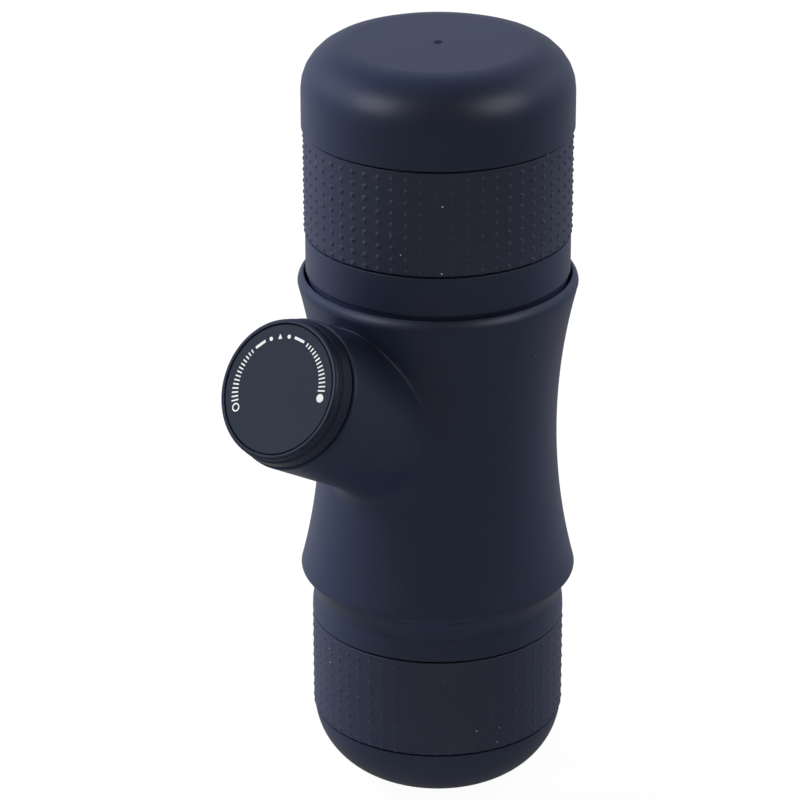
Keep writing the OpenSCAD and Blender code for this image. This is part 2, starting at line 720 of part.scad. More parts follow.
module knob_profile() {
    rim = arc(knob_r - knob_edge, knob_face_s - knob_edge, knob_edge, 0, 90, 4);
    polygon(concat([
        [screw_hole_r, web_s],
        [skirt_r - skirt_wall, web_s],
        [skirt_r - skirt_wall, skirt_s],
        [skirt_r, skirt_s],
        [skirt_r, knob_ring_s],
        [knob_ring_r - ring_edge, knob_ring_s],
        [knob_ring_r, knob_ring_s + ring_edge],
        [knob_ring_r, knob_rim_s - ring_edge],
        [knob_ring_r - ring_edge, knob_rim_s],
        [knob_r - knob_groove, knob_rim_s],
        [knob_r - knob_groove, knob_rim_s + knob_groove],
        [knob_r, knob_rim_s + 2 * knob_groove]],
        rim, [
        [face_r, knob_face_s],
        [face_r, face_floor_s],
        [screw_sink_r, face_floor_s],
        [screw_sink_r, face_floor_s - screw_sink],
        [screw_hole_r, face_floor_s - screw_sink]]));
}

module knob_shell() color(shell_colour) {
    on_pump() rotate_extrude() knob_profile();
    on_pump(skirt_s) skirt_lugs();
}

module knob_face() color(face_colour)
    on_pump(face_floor_s) cylinder(r = face_r - 0.15, h = face_depth - 0.15);

// ---- Brew head ----

module brew_chamber() color(pump_colour) rotate_extrude() difference() {
    union() {
        translate([0, chamber_z]) square([chamber_r, chamber_neck_z - chamber_z]);
        translate([0, well_z - flange_t]) square([flange_r, flange_t]);
    }
    translate([0, chamber_z - 1]) square([delivery_r, chamber_floor + 2]);
    translate([0, chamber_z + chamber_floor])
        square([chamber_bore_r - basket_ledge, screen_gap + eps]);
    translate([0, screen_z]) square([chamber_bore_r, chamber_neck_z - screen_z + 1]);
}

module shower_screen() color(steel_colour)
    translate([0, 0, screen_z]) screen(chamber_bore_r - 0.1, chamber_bore_r - basket_ledge - 2);

module basket_gasket() color(seal_colour) translate([0, 0, basket_gasket_z])
    tube(chamber_bore_r - 0.1, chamber_bore_r - basket_ledge, face_gasket_t);

// The basket hangs open side down over the shower screen, and its screen is its upper end
module filter_basket() color(steel_colour) rotate_extrude() difference() {
    union() {
        translate([0, basket_z]) square([basket_r, basket_h]);
        translate([0, basket_z]) square([basket_flange_r, basket_flange_t]);
    }
    translate([0, basket_z - 1]) square([basket_r - basket_wall, basket_h - screen_t + 1]);
    translate([0, basket_z - 1]) square([basket_r - basket_wall - basket_lip, basket_h + 2]);
}

module basket_screen() color(steel_colour)
    translate([0, 0, basket_top_z - 2 * screen_t])
        screen(basket_r - basket_wall, basket_r - basket_wall - 2.5);

module outlet_head_outline() {
    dome = arc(head_r - dome_edge_r, dome_z, dome_edge_r, 0, 60, 8);
    polygon(concat([[0, skirt_z], [head_r, skirt_z]], dome, [
        [nozzle_r + 4, dome_top_z - 0.8],
        [nozzle_r + 3, dome_top_z],
        [0, dome_top_z]]));
}

module outlet_head() color(shell_colour) rotate_extrude() difference() {
    outlet_head_outline();
    translate([0, skirt_z - 1])
        square([head_bore_r, head_gasket_z + head_gasket_t - skirt_z + 1]);
    translate([0, skirt_z - 1])
        square([press_ring_r + slide_gap, head_ceiling_z - skirt_z + 1]);
    polygon([[0, head_ceiling_z - eps], [funnel_r, head_ceiling_z - eps],
        [funnel_r - 3, nozzle_z - 2], [nozzle_r + 1, nozzle_z], [0, nozzle_z]]);
    translate([0, nozzle_z - eps]) square([nozzle_r, nozzle_len + 1]);
    translate([head_r - ring_sunk, ring_z]) circle(ring_r + 0.05, $fn = 24);
}

// It hangs from the head's ceiling inside the chamber's neck and holds the basket on its gasket
module press_ring() color(pump_colour) translate([0, 0, press_z])
    tube(press_ring_r, press_ring_r - press_ring_wall, head_ceiling_z - press_z);

module outlet_gasket() color(seal_colour) translate([0, 0, head_gasket_z])
    tube(head_bore_r, press_ring_r, head_gasket_t);

module spout_nozzle() color(steel_colour) translate([0, 0, nozzle_z])
    tube(nozzle_r, nozzle_bore_r, nozzle_len);

module cup_retaining_ring() color(seal_colour)
    translate([0, 0, ring_z]) o_ring(head_r - ring_sunk, ring_r);

// ---- Drinking cup ----

module cup_outline() {
    edge = arc(cup_edge_cr, cup_top_z - cup_edge_r, cup_edge_r, 0, 90);
    polygon(concat([
        [0, cup_z],
        [cup_r, cup_z],
        [cup_r, cup_band_low_z],
        [cup_core_r, cup_band_low_z],
        [cup_core_r, cup_band_top_z],
        [cup_r + cup_proud, cup_band_top_z]],
        edge, [
        [gate_r + gate_depth, cup_top_z],
        [gate_r, cup_top_z - gate_depth],
        [0, cup_top_z - gate_depth]]));
}

module cup_hollow() {
    ceiling_z = cup_top_z - cup_top_t;
    edge = arc(cup_bore_r - cup_inner_edge_r, ceiling_z - cup_inner_edge_r, cup_inner_edge_r, 0, 90, 10);
    polygon(concat([[0, cup_z - 1], [cup_bore_r, cup_z - 1]], edge, [[0, ceiling_z]]));
}

module drinking_cup() color(shell_colour) rotate_extrude() difference() {
    cup_outline();
    cup_hollow();
}

module cup_grip_band() color(band_colour)
    translate([0, 0, cup_band_low_z + seam]) tube(cup_band_r, cup_core_r, cup_band_h - 2 * seam);

body_shell();
tank_collar();
tank_gasket();
pump_deck();
deck_screws();
vent_valve();
valve_block();
inlet_valve_seat();
inlet_valve_ball();
inlet_valve_spring();
outlet_valve_seat();
outlet_valve_ball();
outlet_valve_spring();
suction_tube();
suction_strainer();
delivery_tube();
pump_cylinder();
cylinder_o_ring();
rod_guide();
rod_seal();
return_spring();
lock_ring();
brew_chamber();
shower_screen();
basket_gasket();
piston_rod();
piston_head();
piston_seal();
knob_screw();
knob_shell();
knob_face();
filter_basket();
basket_screen();
outlet_head();
press_ring();
outlet_gasket();
spout_nozzle();
cup_retaining_ring();
drinking_cup();
cup_grip_band();
water_tank();
tank_grip_band();
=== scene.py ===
# %% [markdown]
# # A handheld manual espresso maker
#
# The maker stands closed, as it travels: a water tank below, an hourglass body with a tilted
# hand pump, and a drinking cup turned over the outlet head. Nearly every piece is turned round
# one axis, so most of this lesson is about revolved outlines: one Geometry Nodes tree turns them,
# and other trees lay out what repeats on them, such as grip dots, threads, print marks and holes.
# The one piece that no revolve can give is the body, whose boss grows out of a curved side. Its
# mesh is worked out ring by ring.

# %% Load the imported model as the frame
import json
import math

import bmesh
import bpy
import numpy as np
from mathutils import Matrix, Quaternion, Vector


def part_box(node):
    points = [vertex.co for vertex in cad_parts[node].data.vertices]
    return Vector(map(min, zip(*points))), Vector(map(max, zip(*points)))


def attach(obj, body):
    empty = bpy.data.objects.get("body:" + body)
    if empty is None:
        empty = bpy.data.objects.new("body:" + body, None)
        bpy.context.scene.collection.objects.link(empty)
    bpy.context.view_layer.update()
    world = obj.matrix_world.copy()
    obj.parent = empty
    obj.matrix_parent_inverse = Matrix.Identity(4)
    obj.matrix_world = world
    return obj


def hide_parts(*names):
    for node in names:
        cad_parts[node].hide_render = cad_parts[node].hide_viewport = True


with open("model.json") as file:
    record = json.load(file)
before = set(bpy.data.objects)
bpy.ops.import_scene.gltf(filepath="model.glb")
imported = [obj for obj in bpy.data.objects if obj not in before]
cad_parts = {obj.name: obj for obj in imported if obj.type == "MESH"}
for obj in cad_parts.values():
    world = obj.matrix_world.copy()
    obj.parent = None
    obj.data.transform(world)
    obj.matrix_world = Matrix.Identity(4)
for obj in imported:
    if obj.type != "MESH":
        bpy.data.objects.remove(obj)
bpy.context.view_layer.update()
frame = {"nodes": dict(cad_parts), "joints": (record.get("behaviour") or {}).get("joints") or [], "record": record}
MM = 0.001

# %% [markdown]
# ## Measuring the frame
#
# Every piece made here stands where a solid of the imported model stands, so its radii and heights
# are read from that solid. A piece on the body's axis gives them in its box. The pump's pieces
# lie on a tilted axis, which is the axis of the joint that turns the knob, so their points are
# measured along that axis instead.

# %% Radii and heights of the solids
def radius(node):
    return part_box(node)[1].x


def low(node):
    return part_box(node)[0].z


def top(node):
    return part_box(node)[1].z


turn = next(j for j in frame["joints"] if j["name"] == "knob_turn")
PUMP_AXIS = Vector(turn["axis"]).normalized()
PUMP_ORIGIN = Vector(turn["pos_m"])
PUMP_UP = Vector((1, 0, 0)).cross(-PUMP_AXIS)
PUMP_TILT = math.asin(PUMP_AXIS.z)


def along_pump(node):
    """First station, last station and largest radius of a solid, measured on the pump's axis."""
    offsets = [v.co - PUMP_ORIGIN for v in frame["nodes"][node].data.vertices]
    stations = [p.dot(PUMP_AXIS) for p in offsets]
    widest = max((p - s * PUMP_AXIS).length for p, s in zip(offsets, stations))
    return min(stations), max(stations), widest


print("pump tilted", round(math.degrees(PUMP_TILT), 2), "degrees, crossing at", PUMP_ORIGIN.z)

# %% [markdown]
# ## Camera
#
# The photograph looks down by 24 degrees, with the pump turned 40 degrees to the left of the
# view. A long lens keeps the sides nearly parallel. The object's axis isn't in the middle of the
# picture, so the camera turns a little to its left, which moves the object to the right. It also
# rolls by a fifth of a degree, because the object leans that much in the picture.

# %% The camera at the photograph's angle
VIEW_AZIMUTH = math.radians(40)
VIEW_ELEVATION = math.radians(24)
VIEW_DISTANCE = 850 * MM
AIM_HEIGHT = 89.4 * MM
AIM_LEFT = 8.42 * MM
LENS = 172.1
VIEW_ROLL = math.radians(-0.19)

toward = Vector((
    math.sin(VIEW_AZIMUTH) * math.cos(VIEW_ELEVATION),
    -math.cos(VIEW_AZIMUTH) * math.cos(VIEW_ELEVATION),
    math.sin(VIEW_ELEVATION)))
right = Vector((math.cos(VIEW_AZIMUTH), math.sin(VIEW_AZIMUTH), 0))
camera = bpy.data.objects.new("camera", bpy.data.cameras.new("camera"))
camera.data.lens = LENS
camera.data.clip_start = 0.01
camera.location = Vector((0, 0, AIM_HEIGHT)) + toward * VIEW_DISTANCE
aim = Vector((0, 0, AIM_HEIGHT)) - right * AIM_LEFT
camera.rotation_mode = "QUATERNION"
camera.rotation_quaternion = ((aim - camera.location).to_track_quat("-Z", "Y")
                              @ Quaternion((0, 0, 1), VIEW_ROLL))
bpy.context.scene.collection.objects.link(camera)
bpy.context.scene.camera = camera
bpy.context.scene.view_settings.view_transform = "Standard"
print("camera", [round(c, 4) for c in camera.location], "lens", LENS)

# %% [markdown]
# ## Building node trees
#
# Shaders and Geometry Nodes are both graphs, and a small helper keeps their code readable. It
# makes a node, sets its plain values and links its inputs in one call. An input that is given a
# socket is linked, and any other value is written on the input itself.

# %% A helper that adds and links one node
def add(tree, kind, inputs=None, **settings):
    node = tree.nodes.new(kind)
    for name, value in settings.items():
        setattr(node, name, value)
    for key, value in (inputs or {}).items():
        if isinstance(value, bpy.types.NodeSocket):
            tree.links.new(value, node.inputs[key])
        else:
            node.inputs[key].default_value = value
    return node


def group_sockets(tree, inputs, outputs):
    """Gives a node group its named sockets: {name: (kind, default)} in, {name: kind} out."""
    for name, (kind, default) in inputs.items():
        socket = tree.interface.new_socket(name, in_out="INPUT", socket_type="NodeSocket" + kind)
        if default is not None:
            socket.default_value = default
    for name, kind in outputs.items():
        tree.interface.new_socket(name, in_out="OUTPUT", socket_type="NodeSocket" + kind)
    return tree.nodes.new("NodeGroupInput"), tree.nodes.new("NodeGroupOutput")


def maths(tree, operation, first, second=0.0, third=0.0):
    """A Math node works alike in shaders and in Geometry Nodes."""
    node = add(tree, "ShaderNodeMath", {0: first, 1: second, 2: third}, operation=operation)
    return node.outputs[0]


def scaled(tree, vector, factor):
    return add(tree, "ShaderNodeVectorMath", {0: vector, "Scale": factor},
               operation="SCALE").outputs[0]


def blended(tree, share, first, second):
    """A colour that goes from the first to the second as share goes from 0 to 1."""
    return add(tree, "ShaderNodeMix", {"Factor": share, "A": first, "B": second},
               data_type="RGBA").outputs["Result"]


# %% [markdown]
# ## Effects that several finishes share
#
# Moulded plastic isn't flat: the mould's fine spark grain gives it a matte look, broad areas
# differ a little in colour and gloss, edges are rubbed lighter, and dust sits on it. Each effect
# is a node group of its own, so that every finish can take it in its own strength. The patterns
# read Object coordinates, which are metres here, so a scale of 2500 is a grain of 0.4 mm.

# %% Group: moulded grain
def build_grain():
    tree = bpy.data.node_groups.new("moulded grain", "ShaderNodeTree")
    given, made = group_sockets(tree, {
        "Grains per metre": ("Float", 2500.0), "Roughness": ("Float", 0.5),
        "Gloss drift": ("Float", 0.06)}, {"Height": "Float", "Roughness": "Float"})
    place = add(tree, "ShaderNodeTexCoord").outputs["Object"]
    grain = add(tree, "ShaderNodeTexNoise", {
        "Vector": place, "Scale": given.outputs["Grains per metre"], "Detail": 3.0,
        "Roughness": 0.62})
    broad = add(tree, "ShaderNodeTexNoise", {"Vector": place, "Scale": 70.0, "Detail": 4.0})
    drift = maths(tree, "SUBTRACT", broad.outputs["Fac"], 0.5)
    drift = maths(tree, "MULTIPLY", drift, given.outputs["Gloss drift"])
    drift = maths(tree, "ADD", drift, given.outputs["Roughness"])
    tree.links.new(grain.outputs["Fac"], made.inputs["Height"])
    tree.links.new(drift, made.inputs["Roughness"])
    return tree


# %% Group: colour drift and rubbed edges
def build_rubbed():
    tree = bpy.data.node_groups.new("drift and rubbed edges", "ShaderNodeTree")
    given, made = group_sockets(tree, {
        "Colour": ("Color", (0.03, 0.035, 0.05, 1)),
        "Rubbed colour": ("Color", (0.1, 0.1, 0.12, 1)),
        "Drift": ("Float", 0.12), "Wear": ("Float", 0.5)}, {"Colour": "Color"})
    place = add(tree, "ShaderNodeTexCoord").outputs["Object"]
    broad = add(tree, "ShaderNodeTexNoise", {"Vector": place, "Scale": 45.0, "Detail": 5.0})
    drift = maths(tree, "MULTIPLY_ADD", broad.outputs["Fac"], 2.0, -1.0)
    drift = maths(tree, "MULTIPLY_ADD", drift, given.outputs["Drift"], 1.0)
    shade = scaled(tree, given.outputs["Colour"], drift)
    edge = add(tree, "ShaderNodeMapRange", {
        "Value": add(tree, "ShaderNodeNewGeometry").outputs["Pointiness"],
        "From Min": 0.53, "From Max": 0.62}, clamp=True).outputs[0]
    patchy = add(tree, "ShaderNodeTexNoise", {"Vector": place, "Scale": 420.0, "Detail": 4.0})
    patchy = add(tree, "ShaderNodeMapRange", {
        "Value": patchy.outputs["Fac"], "From Min": 0.42, "From Max": 0.62}, clamp=True).outputs[0]
    mask = maths(tree, "MULTIPLY", edge, patchy)
    mask = maths(tree, "MULTIPLY", mask, given.outputs["Wear"])
    tree.links.new(blended(tree, mask, shade, given.outputs["Rubbed colour"]),
                   made.inputs["Colour"])
    return tree


# %% Group: dust specks
def build_dust():
    tree = bpy.data.node_groups.new("dust specks", "ShaderNodeTree")
    given, made = group_sockets(tree, {
        "Colour": ("Color", (0.03, 0.035, 0.05, 1)), "Dust colour": ("Color", (0.55, 0.56, 0.6, 1)),
        "Cells per metre": ("Float", 420.0), "Share": ("Float", 0.02),
        "Size": ("Float", 0.09)}, {"Colour": "Color"})
    place = add(tree, "ShaderNodeTexCoord").outputs["Object"]
    cells = add(tree, "ShaderNodeTexVoronoi", {
        "Vector": place, "Scale": given.outputs["Cells per metre"]}, feature="F1")
    chance = add(tree, "ShaderNodeSeparateColor", {"Color": cells.outputs["Color"]})
    chosen = maths(tree, "LESS_THAN", chance.outputs["Red"], given.outputs["Share"])
    size = maths(tree, "MULTIPLY", given.outputs["Size"], chance.outputs["Green"])
    near = maths(tree, "LESS_THAN", cells.outputs["Distance"], size)
    mask = maths(tree, "MULTIPLY", chosen, near)
    tree.links.new(blended(tree, mask, given.outputs["Colour"], given.outputs["Dust colour"]),
                   made.inputs["Colour"])
    return tree


# %% Group: brushed metal
def build_brushed():
    tree = bpy.data.node_groups.new("brushed metal", "ShaderNodeTree")
    given, made = group_sockets(tree, {
        "Colour": ("Color", (0.6, 0.6, 0.62, 1)), "Roughness": ("Float", 0.3),
        "Lines per metre": ("Float", 6000.0)},
        {"Colour": "Color", "Height": "Float", "Roughness": "Float"})
    place = add(tree, "ShaderNodeTexCoord").outputs["Object"]
    parts = add(tree, "ShaderNodeSeparateXYZ", {"Vector": place})
    spread = maths(tree, "MULTIPLY", parts.outputs["X"], 0.03)
    depth = maths(tree, "MULTIPLY", parts.outputs["Y"], 0.03)
    stretched = add(tree, "ShaderNodeCombineXYZ", {
        "X": spread, "Y": depth, "Z": parts.outputs["Z"]})
    lines = add(tree, "ShaderNodeTexNoise", {
        "Vector": stretched.outputs[0], "Scale": given.outputs["Lines per metre"], "Detail": 2.0})
    rough = maths(tree, "MULTIPLY_ADD", lines.outputs["Fac"], 0.16, -0.08)
    rough = maths(tree, "ADD", rough, given.outputs["Roughness"])
    shade = maths(tree, "MULTIPLY_ADD", lines.outputs["Fac"], 0.18, 0.9)
    tree.links.new(scaled(tree, given.outputs["Colour"], shade), made.inputs["Colour"])
    tree.links.new(lines.outputs["Fac"], made.inputs["Height"])
    tree.links.new(rough, made.inputs["Roughness"])
    return tree


GRAIN, RUBBED, DUST, BRUSHED = build_grain(), build_rubbed(), build_dust(), build_brushed()
print("effects:", [g.name for g in (GRAIN, RUBBED, DUST, BRUSHED)])

# %% [markdown]
# ## Finishes
#
# A finish is a Principled shader with those groups placed in it. What changes over the surface
# comes from the groups, and what is the same all over stays on the shader's own sockets.

# %% Moulded plastic and rubber
def new_material(name):
    """A new material, its node tree and its Principled shader."""
    material = bpy.data.materials.new(name)
    material.use_nodes = True
    nodes = material.node_tree.nodes
    return material, material.node_tree, next(n for n in nodes if n.type == "BSDF_PRINCIPLED")


def use_group(tree, group, **values):
    node = add(tree, "ShaderNodeGroup", node_tree=group)
    for name, value in values.items():
        key = name.replace("_", " ")
        if isinstance(value, bpy.types.NodeSocket):
            tree.links.new(value, node.inputs[key])
        else:
            node.inputs[key].default_value = value
    return node


def wire(tree, shader, colour, surface, depth):
    """Links a colour, and a surface group's roughness and height, to the shader."""
    bump = add(tree, "ShaderNodeBump", {"Height": surface.outputs["Height"], "Distance": depth})
    tree.links.new(colour, shader.inputs["Base Color"])
    tree.links.new(surface.outputs["Roughness"], shader.inputs["Roughness"])
    tree.links.new(bump.outputs["Normal"], shader.inputs["Normal"])


def moulded(name, colour, rough, rubbed, wear=0.35, drift=0.1, grain=2500.0, depth=0.012 * MM,
            dust=0.0, level=0.3):
    """Plastic or rubber from a mould: colour and rubbed colour are linear red, green and blue."""
    material, tree, shader = new_material(name)
    surface = use_group(tree, GRAIN, Grains_per_metre=grain, Roughness=rough)
    tint = use_group(tree, RUBBED, Colour=(*colour, 1), Rubbed_colour=(*rubbed, 1),
                     Drift=drift, Wear=wear)
    if dust:
        tint = use_group(tree, DUST, Colour=tint.outputs["Colour"], Share=dust)
    wire(tree, shader, tint.outputs["Colour"], surface, depth)
    shader.inputs["Specular IOR Level"].default_value = level
    return material


# %% Brushed steel
def steel(name, colour, rough, lines=6000.0, depth=0.002 * MM):
    material, tree, shader = new_material(name)
    surface = use_group(tree, BRUSHED, Colour=(*colour, 1), Roughness=rough,
                        Lines_per_metre=lines)
    wire(tree, shader, surface.outputs["Colour"], surface, depth)
    shader.inputs["Metallic"].default_value = 1.0
    return material


# %% The finishes of this maker
NAVY = (0.021, 0.029, 0.062)
NAVY_RUBBED = (0.075, 0.085, 0.115)
SHELL = moulded("navy shell", NAVY, 0.42, NAVY_RUBBED, wear=0.15, dust=0.004)
CUP = moulded("navy cup", NAVY, 0.4, NAVY_RUBBED, wear=0.15, dust=0.004)
GRIP = moulded("grip sleeve", (0.026, 0.032, 0.064), 0.48, NAVY_RUBBED, wear=0.1, grain=3200.0,
               dust=0.2)
KNOB = moulded("knob", (0.017, 0.023, 0.045), 0.38, NAVY_RUBBED, wear=0.15, grain=3000.0,
               dust=0.004, level=0.22)
DISC = moulded("knob disc", (0.022, 0.029, 0.047), 0.6, NAVY_RUBBED, grain=3600.0, dust=0.002,
               level=0.12)
PRINT = moulded("white print", (0.78, 0.79, 0.80), 0.55, (0.6, 0.6, 0.6), wear=0.2, grain=5000.0,
                depth=0.004 * MM)
PUMP = moulded("pump plastic", (0.055, 0.056, 0.060), 0.45, (0.14, 0.14, 0.15))
PALE = moulded("pale plastic", (0.60, 0.63, 0.65), 0.25, (0.7, 0.7, 0.7), grain=900.0,
               depth=0.004 * MM)
RUBBER = moulded("silicone seal", (0.30, 0.055, 0.035), 0.6, (0.4, 0.1, 0.07), grain=1500.0)
STEEL = steel("brushed steel", (0.62, 0.63, 0.65), 0.28)
FINISH = {"shell": SHELL, "grip": GRIP, "knob": KNOB, "knob_disc": DISC, "pump_plastic": PUMP,
          "clear_plastic": PALE, "steel": STEEL, "seal": RUBBER}
print("finishes for the slots:", sorted(FINISH))

# %% [markdown]
# ## Outlines with rounded corners
#
# A turned piece is drawn as a closed outline of radius and height. Real moulded corners are
# rounded, so a corner is written with its fillet, and the helper works out the arc. Beside each
# fillet it leaves a support point, which keeps the smooth shading of the arc off the long
# straight side next to it.

# %% Arcs and fillets
SUPPORT = 0.12 * MM
FILLET_STEP = math.radians(15)


def arc(centre_r, centre_z, size, start, end, steps=12):
    """Points on an arc, angles in degrees from the outward direction, as corners with no fillet."""
    turns = [math.radians(start + (end - start) * i / steps) for i in range(steps + 1)]
    return [(centre_r + size * math.cos(t), centre_z + size * math.sin(t), 0) for t in turns]


def rounded(corners):
    """A closed outline from corners of (radius, height, fillet)."""
    points = [Vector((r, z)) for r, z, _ in corners]
    count = len(points)
    sides = [points[(i + 1) % count] - points[i] for i in range(count)]
    reaches = []
    for i, (_, _, fillet) in enumerate(corners):
        opening = (-sides[i - 1]).angle(sides[i])
        reaches.append(fillet / math.tan(opening / 2) if fillet else 0)
    outline = []
    for i, (_, _, fillet) in enumerate(corners):
        back, ahead = -sides[i - 1].normalized(), sides[i].normalized()
        if not fillet:
            outline.append(points[i])
            continue
        start, end = points[i] + back * reaches[i], points[i] + ahead * reaches[i]
        middle = (back + ahead).normalized()
        centre = points[i] + middle * fillet / math.sin(back.angle(ahead) / 2)
        sweep = (start - centre).angle_signed(end - centre)
        steps = max(2, math.ceil(abs(sweep) / FILLET_STEP))
        if sides[i - 1].length - reaches[i - 1] - reaches[i] > 3 * SUPPORT:
            outline.append(start + back * SUPPORT)
        for k in range(steps + 1):
            outline.append(centre + Matrix.Rotation(-sweep * k / steps, 2) @ (start - centre))
        if sides[i].length - reaches[i] - reaches[(i + 1) % count] > 3 * SUPPORT:
            outline.append(end + ahead * SUPPORT)
    return [tuple(p) for p in outline]


# %% [markdown]
# ## One tree that turns outlines
#
# A lathe could be a Screw modifier, but as a node tree its steps are open to view. A grid has one
# row of points for each step round the axis. Each point looks up its outline point by its index,
# is turned by its step's angle, and the first and last row meet and are merged. Points on the axis
# merge too, which closes the ends.

# %% Geometry Nodes tree: lathe
MERGE = 0.002 * MM


def geometry_tree(name, inputs):
    tree = bpy.data.node_groups.new(name, "GeometryNodeTree")
    given, made = group_sockets(
        tree, {"Geometry": ("Geometry", None), **inputs, "Material": ("Material", None)},
        {"Geometry": "Geometry"})
    return tree, given, made


def end_tree(tree, given, made, geometry, smooth=True):
    """Every tree ends alike: shaded smooth, made real and given its material."""
    shaded = add(tree, "GeometryNodeSetShadeSmooth", {"Geometry": geometry, "Shade Smooth": smooth})
    real = add(tree, "GeometryNodeRealizeInstances", {"Geometry": shaded.outputs["Geometry"]})
    painted = add(tree, "GeometryNodeSetMaterial", {
        "Geometry": real.outputs["Geometry"], "Material": given.outputs["Material"]})
    tree.links.new(painted.outputs["Geometry"], made.inputs["Geometry"])
    print("tree:", tree.name)
    return tree


def point_index(tree):
    return add(tree, "GeometryNodeInputIndex").outputs[0]


def placed_at(tree, geometry, position):
    return add(tree, "GeometryNodeSetPosition", {
        "Geometry": geometry, "Position": position}).outputs["Geometry"]


def turned_about_z(tree, vector, angle):
    return add(tree, "ShaderNodeVectorRotate", {"Vector": vector, "Angle": angle},
               rotation_type="Z_AXIS").outputs[0]


def merged(tree, geometry):
    return add(tree, "GeometryNodeMergeByDistance", {
        "Geometry": geometry, "Distance": MERGE}).outputs["Geometry"]


def whole(tree, operation, first, second):
    node = add(tree, "FunctionNodeIntegerMath", {0: first, 1: second}, operation=operation)
    return node.outputs[0]


def point_of(tree, source, count):
    """Position of the source's point whose number is this point's index modulo count."""
    number = whole(tree, "FLOORED_MODULO", point_index(tree), count)
    position = add(tree, "GeometryNodeInputPosition").outputs[0]
    return add(tree, "GeometryNodeSampleIndex", {
        "Geometry": source, "Value": position, "Index": number},
        data_type="FLOAT_VECTOR", domain="POINT").outputs[0]


def point_count(tree, source):
    return add(tree, "GeometryNodeAttributeDomainSize", {"Geometry": source},
               component="MESH").outputs["Point Count"]


def build_lathe():
    tree, given, made = geometry_tree("lathe", {"Steps": ("Int", 96)})
    outline = given.outputs["Geometry"]
    count = point_count(tree, outline)
    rows = whole(tree, "ADD", given.outputs["Steps"], 1)
    grid = add(tree, "GeometryNodeMeshGrid", {"Vertices X": rows, "Vertices Y": count})
    step = whole(tree, "DIVIDE_FLOOR", point_index(tree), count)
    angle = maths(tree, "DIVIDE", maths(tree, "MULTIPLY", step, math.tau), given.outputs["Steps"])
    turned = turned_about_z(tree, point_of(tree, outline, count), angle)
    placed = placed_at(tree, grid.outputs["Mesh"], turned)
    return end_tree(tree, given, made, merged(tree, placed))


LATHE = build_lathe()

# %% [markdown]
# ## From a tree to a plain mesh
#
# A tree runs as a modifier on a small starting mesh. Its inputs are set by the sockets'
# identifiers before the object is first evaluated. The result is read back as a plain mesh, so
# that the finished piece carries no modifier.

# %% Run a tree and keep its result
def new_object(name, points, edges=(), faces=()):
    mesh = bpy.data.meshes.new(name)
    mesh.from_pydata([tuple(p) for p in points], list(edges), list(faces))
    obj = bpy.data.objects.new(name, mesh)
    bpy.context.scene.collection.objects.link(obj)
    return obj


def grow(name, tree, points, faces=(), **values):
    """The mesh object that a tree makes from a starting mesh; values are its named inputs."""
    edges = [] if faces else [(i, i + 1) for i in range(len(points) - 1)]
    obj = new_object(name, points, edges, faces)
    modifier = obj.modifiers.new("tree", "NODES")
    modifier.node_group = tree
    keys = {item.name: item.identifier for item in tree.interface.items_tree
            if item.item_type == "SOCKET" and item.in_out == "INPUT"}
    for label, value in values.items():
        modifier[keys[label.replace("_", " ")]] = value
    graph = bpy.context.evaluated_depsgraph_get()
    made = bpy.data.meshes.new_from_object(obj.evaluated_get(graph), depsgraph=graph)
    obj.modifiers.remove(modifier)
    start = obj.data
    obj.data = made
    bpy.data.meshes.remove(start)
    made.name = name
    made.materials.clear()
    made.materials.append(values["Material"])
    made.polygons.foreach_set("material_index", [0] * len(made.polygons))
    return obj


def lathe(name, corners, material, steps=192, pump=False):
    """A piece turned from corners of (radius, height, fillet), on the body's or the pump's axis."""
    outline = [(r, 0, z) for r, z in rounded(corners)]
    obj = grow(name, LATHE, outline + outline[:1], Steps=steps, Material=material)
    if pump:
        obj.data.transform(PUMP_PLACE)
    return obj


PUMP_PLACE = Matrix.Translation(PUMP_ORIGIN) @ Matrix((
    (1, 0, 0), PUMP_UP.to_tuple(), PUMP_AXIS.to_tuple())).transposed().to_4x4()

# %% [markdown]
# ## Finishing a piece
#
# Each mesh is cleaned in the same way: doubles are merged, loose edges go, and faces are turned
# outwards. Edges sharper than 32 degrees stay sharp and all others are shaded smooth. Then
# the piece is put on its body, and stands for the solids that it replaces.

# %% Clean, shade and hand over a piece
SHARP = math.radians(32)


def clean(obj, sharp=SHARP):
    work = bmesh.new()
    work.from_mesh(obj.data)
    bmesh.ops.remove_doubles(work, verts=work.verts, dist=MERGE / 4)
    bmesh.ops.delete(work, geom=[e for e in work.edges if not e.link_faces], context="EDGES")
    bmesh.ops.delete(work, geom=[v for v in work.verts if not v.link_faces], context="VERTS")
    bmesh.ops.recalc_face_normals(work, faces=work.faces)
    open_edges = sum(1 for e in work.edges if len(e.link_faces) != 2)
    work.to_mesh(obj.data)
    work.free()
    obj.data.shade_smooth()
    obj.data.set_sharp_from_angle(angle=sharp)
    return open_edges


def join(name, *parts):
    """One mesh object from several, with one material slot for each material."""
    work = bmesh.new()
    materials = []
    for part in parts:
        start = len(work.faces)
        work.from_mesh(part.data)
        work.faces.ensure_lookup_table()
        material = part.data.materials[0]
        if material not in materials:
            materials.append(material)
        for face in work.faces[start:]:
            face.material_index = materials.index(material)
        bpy.data.objects.remove(part)
    mesh = bpy.data.meshes.new(name)
    work.to_mesh(mesh)
    work.free()
    for material in materials:
        mesh.materials.append(material)
    obj = bpy.data.objects.new(name, mesh)
    bpy.context.scene.collection.objects.link(obj)
    return obj


def place(obj, body, slot, *stands_for):
    open_edges = clean(obj)
    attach(obj, body)
    if stands_for:
        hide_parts(*stands_for)
    print(f"{obj.name}: {len(obj.data.polygons)} faces, {open_edges} open edges, on {body}")
    return obj


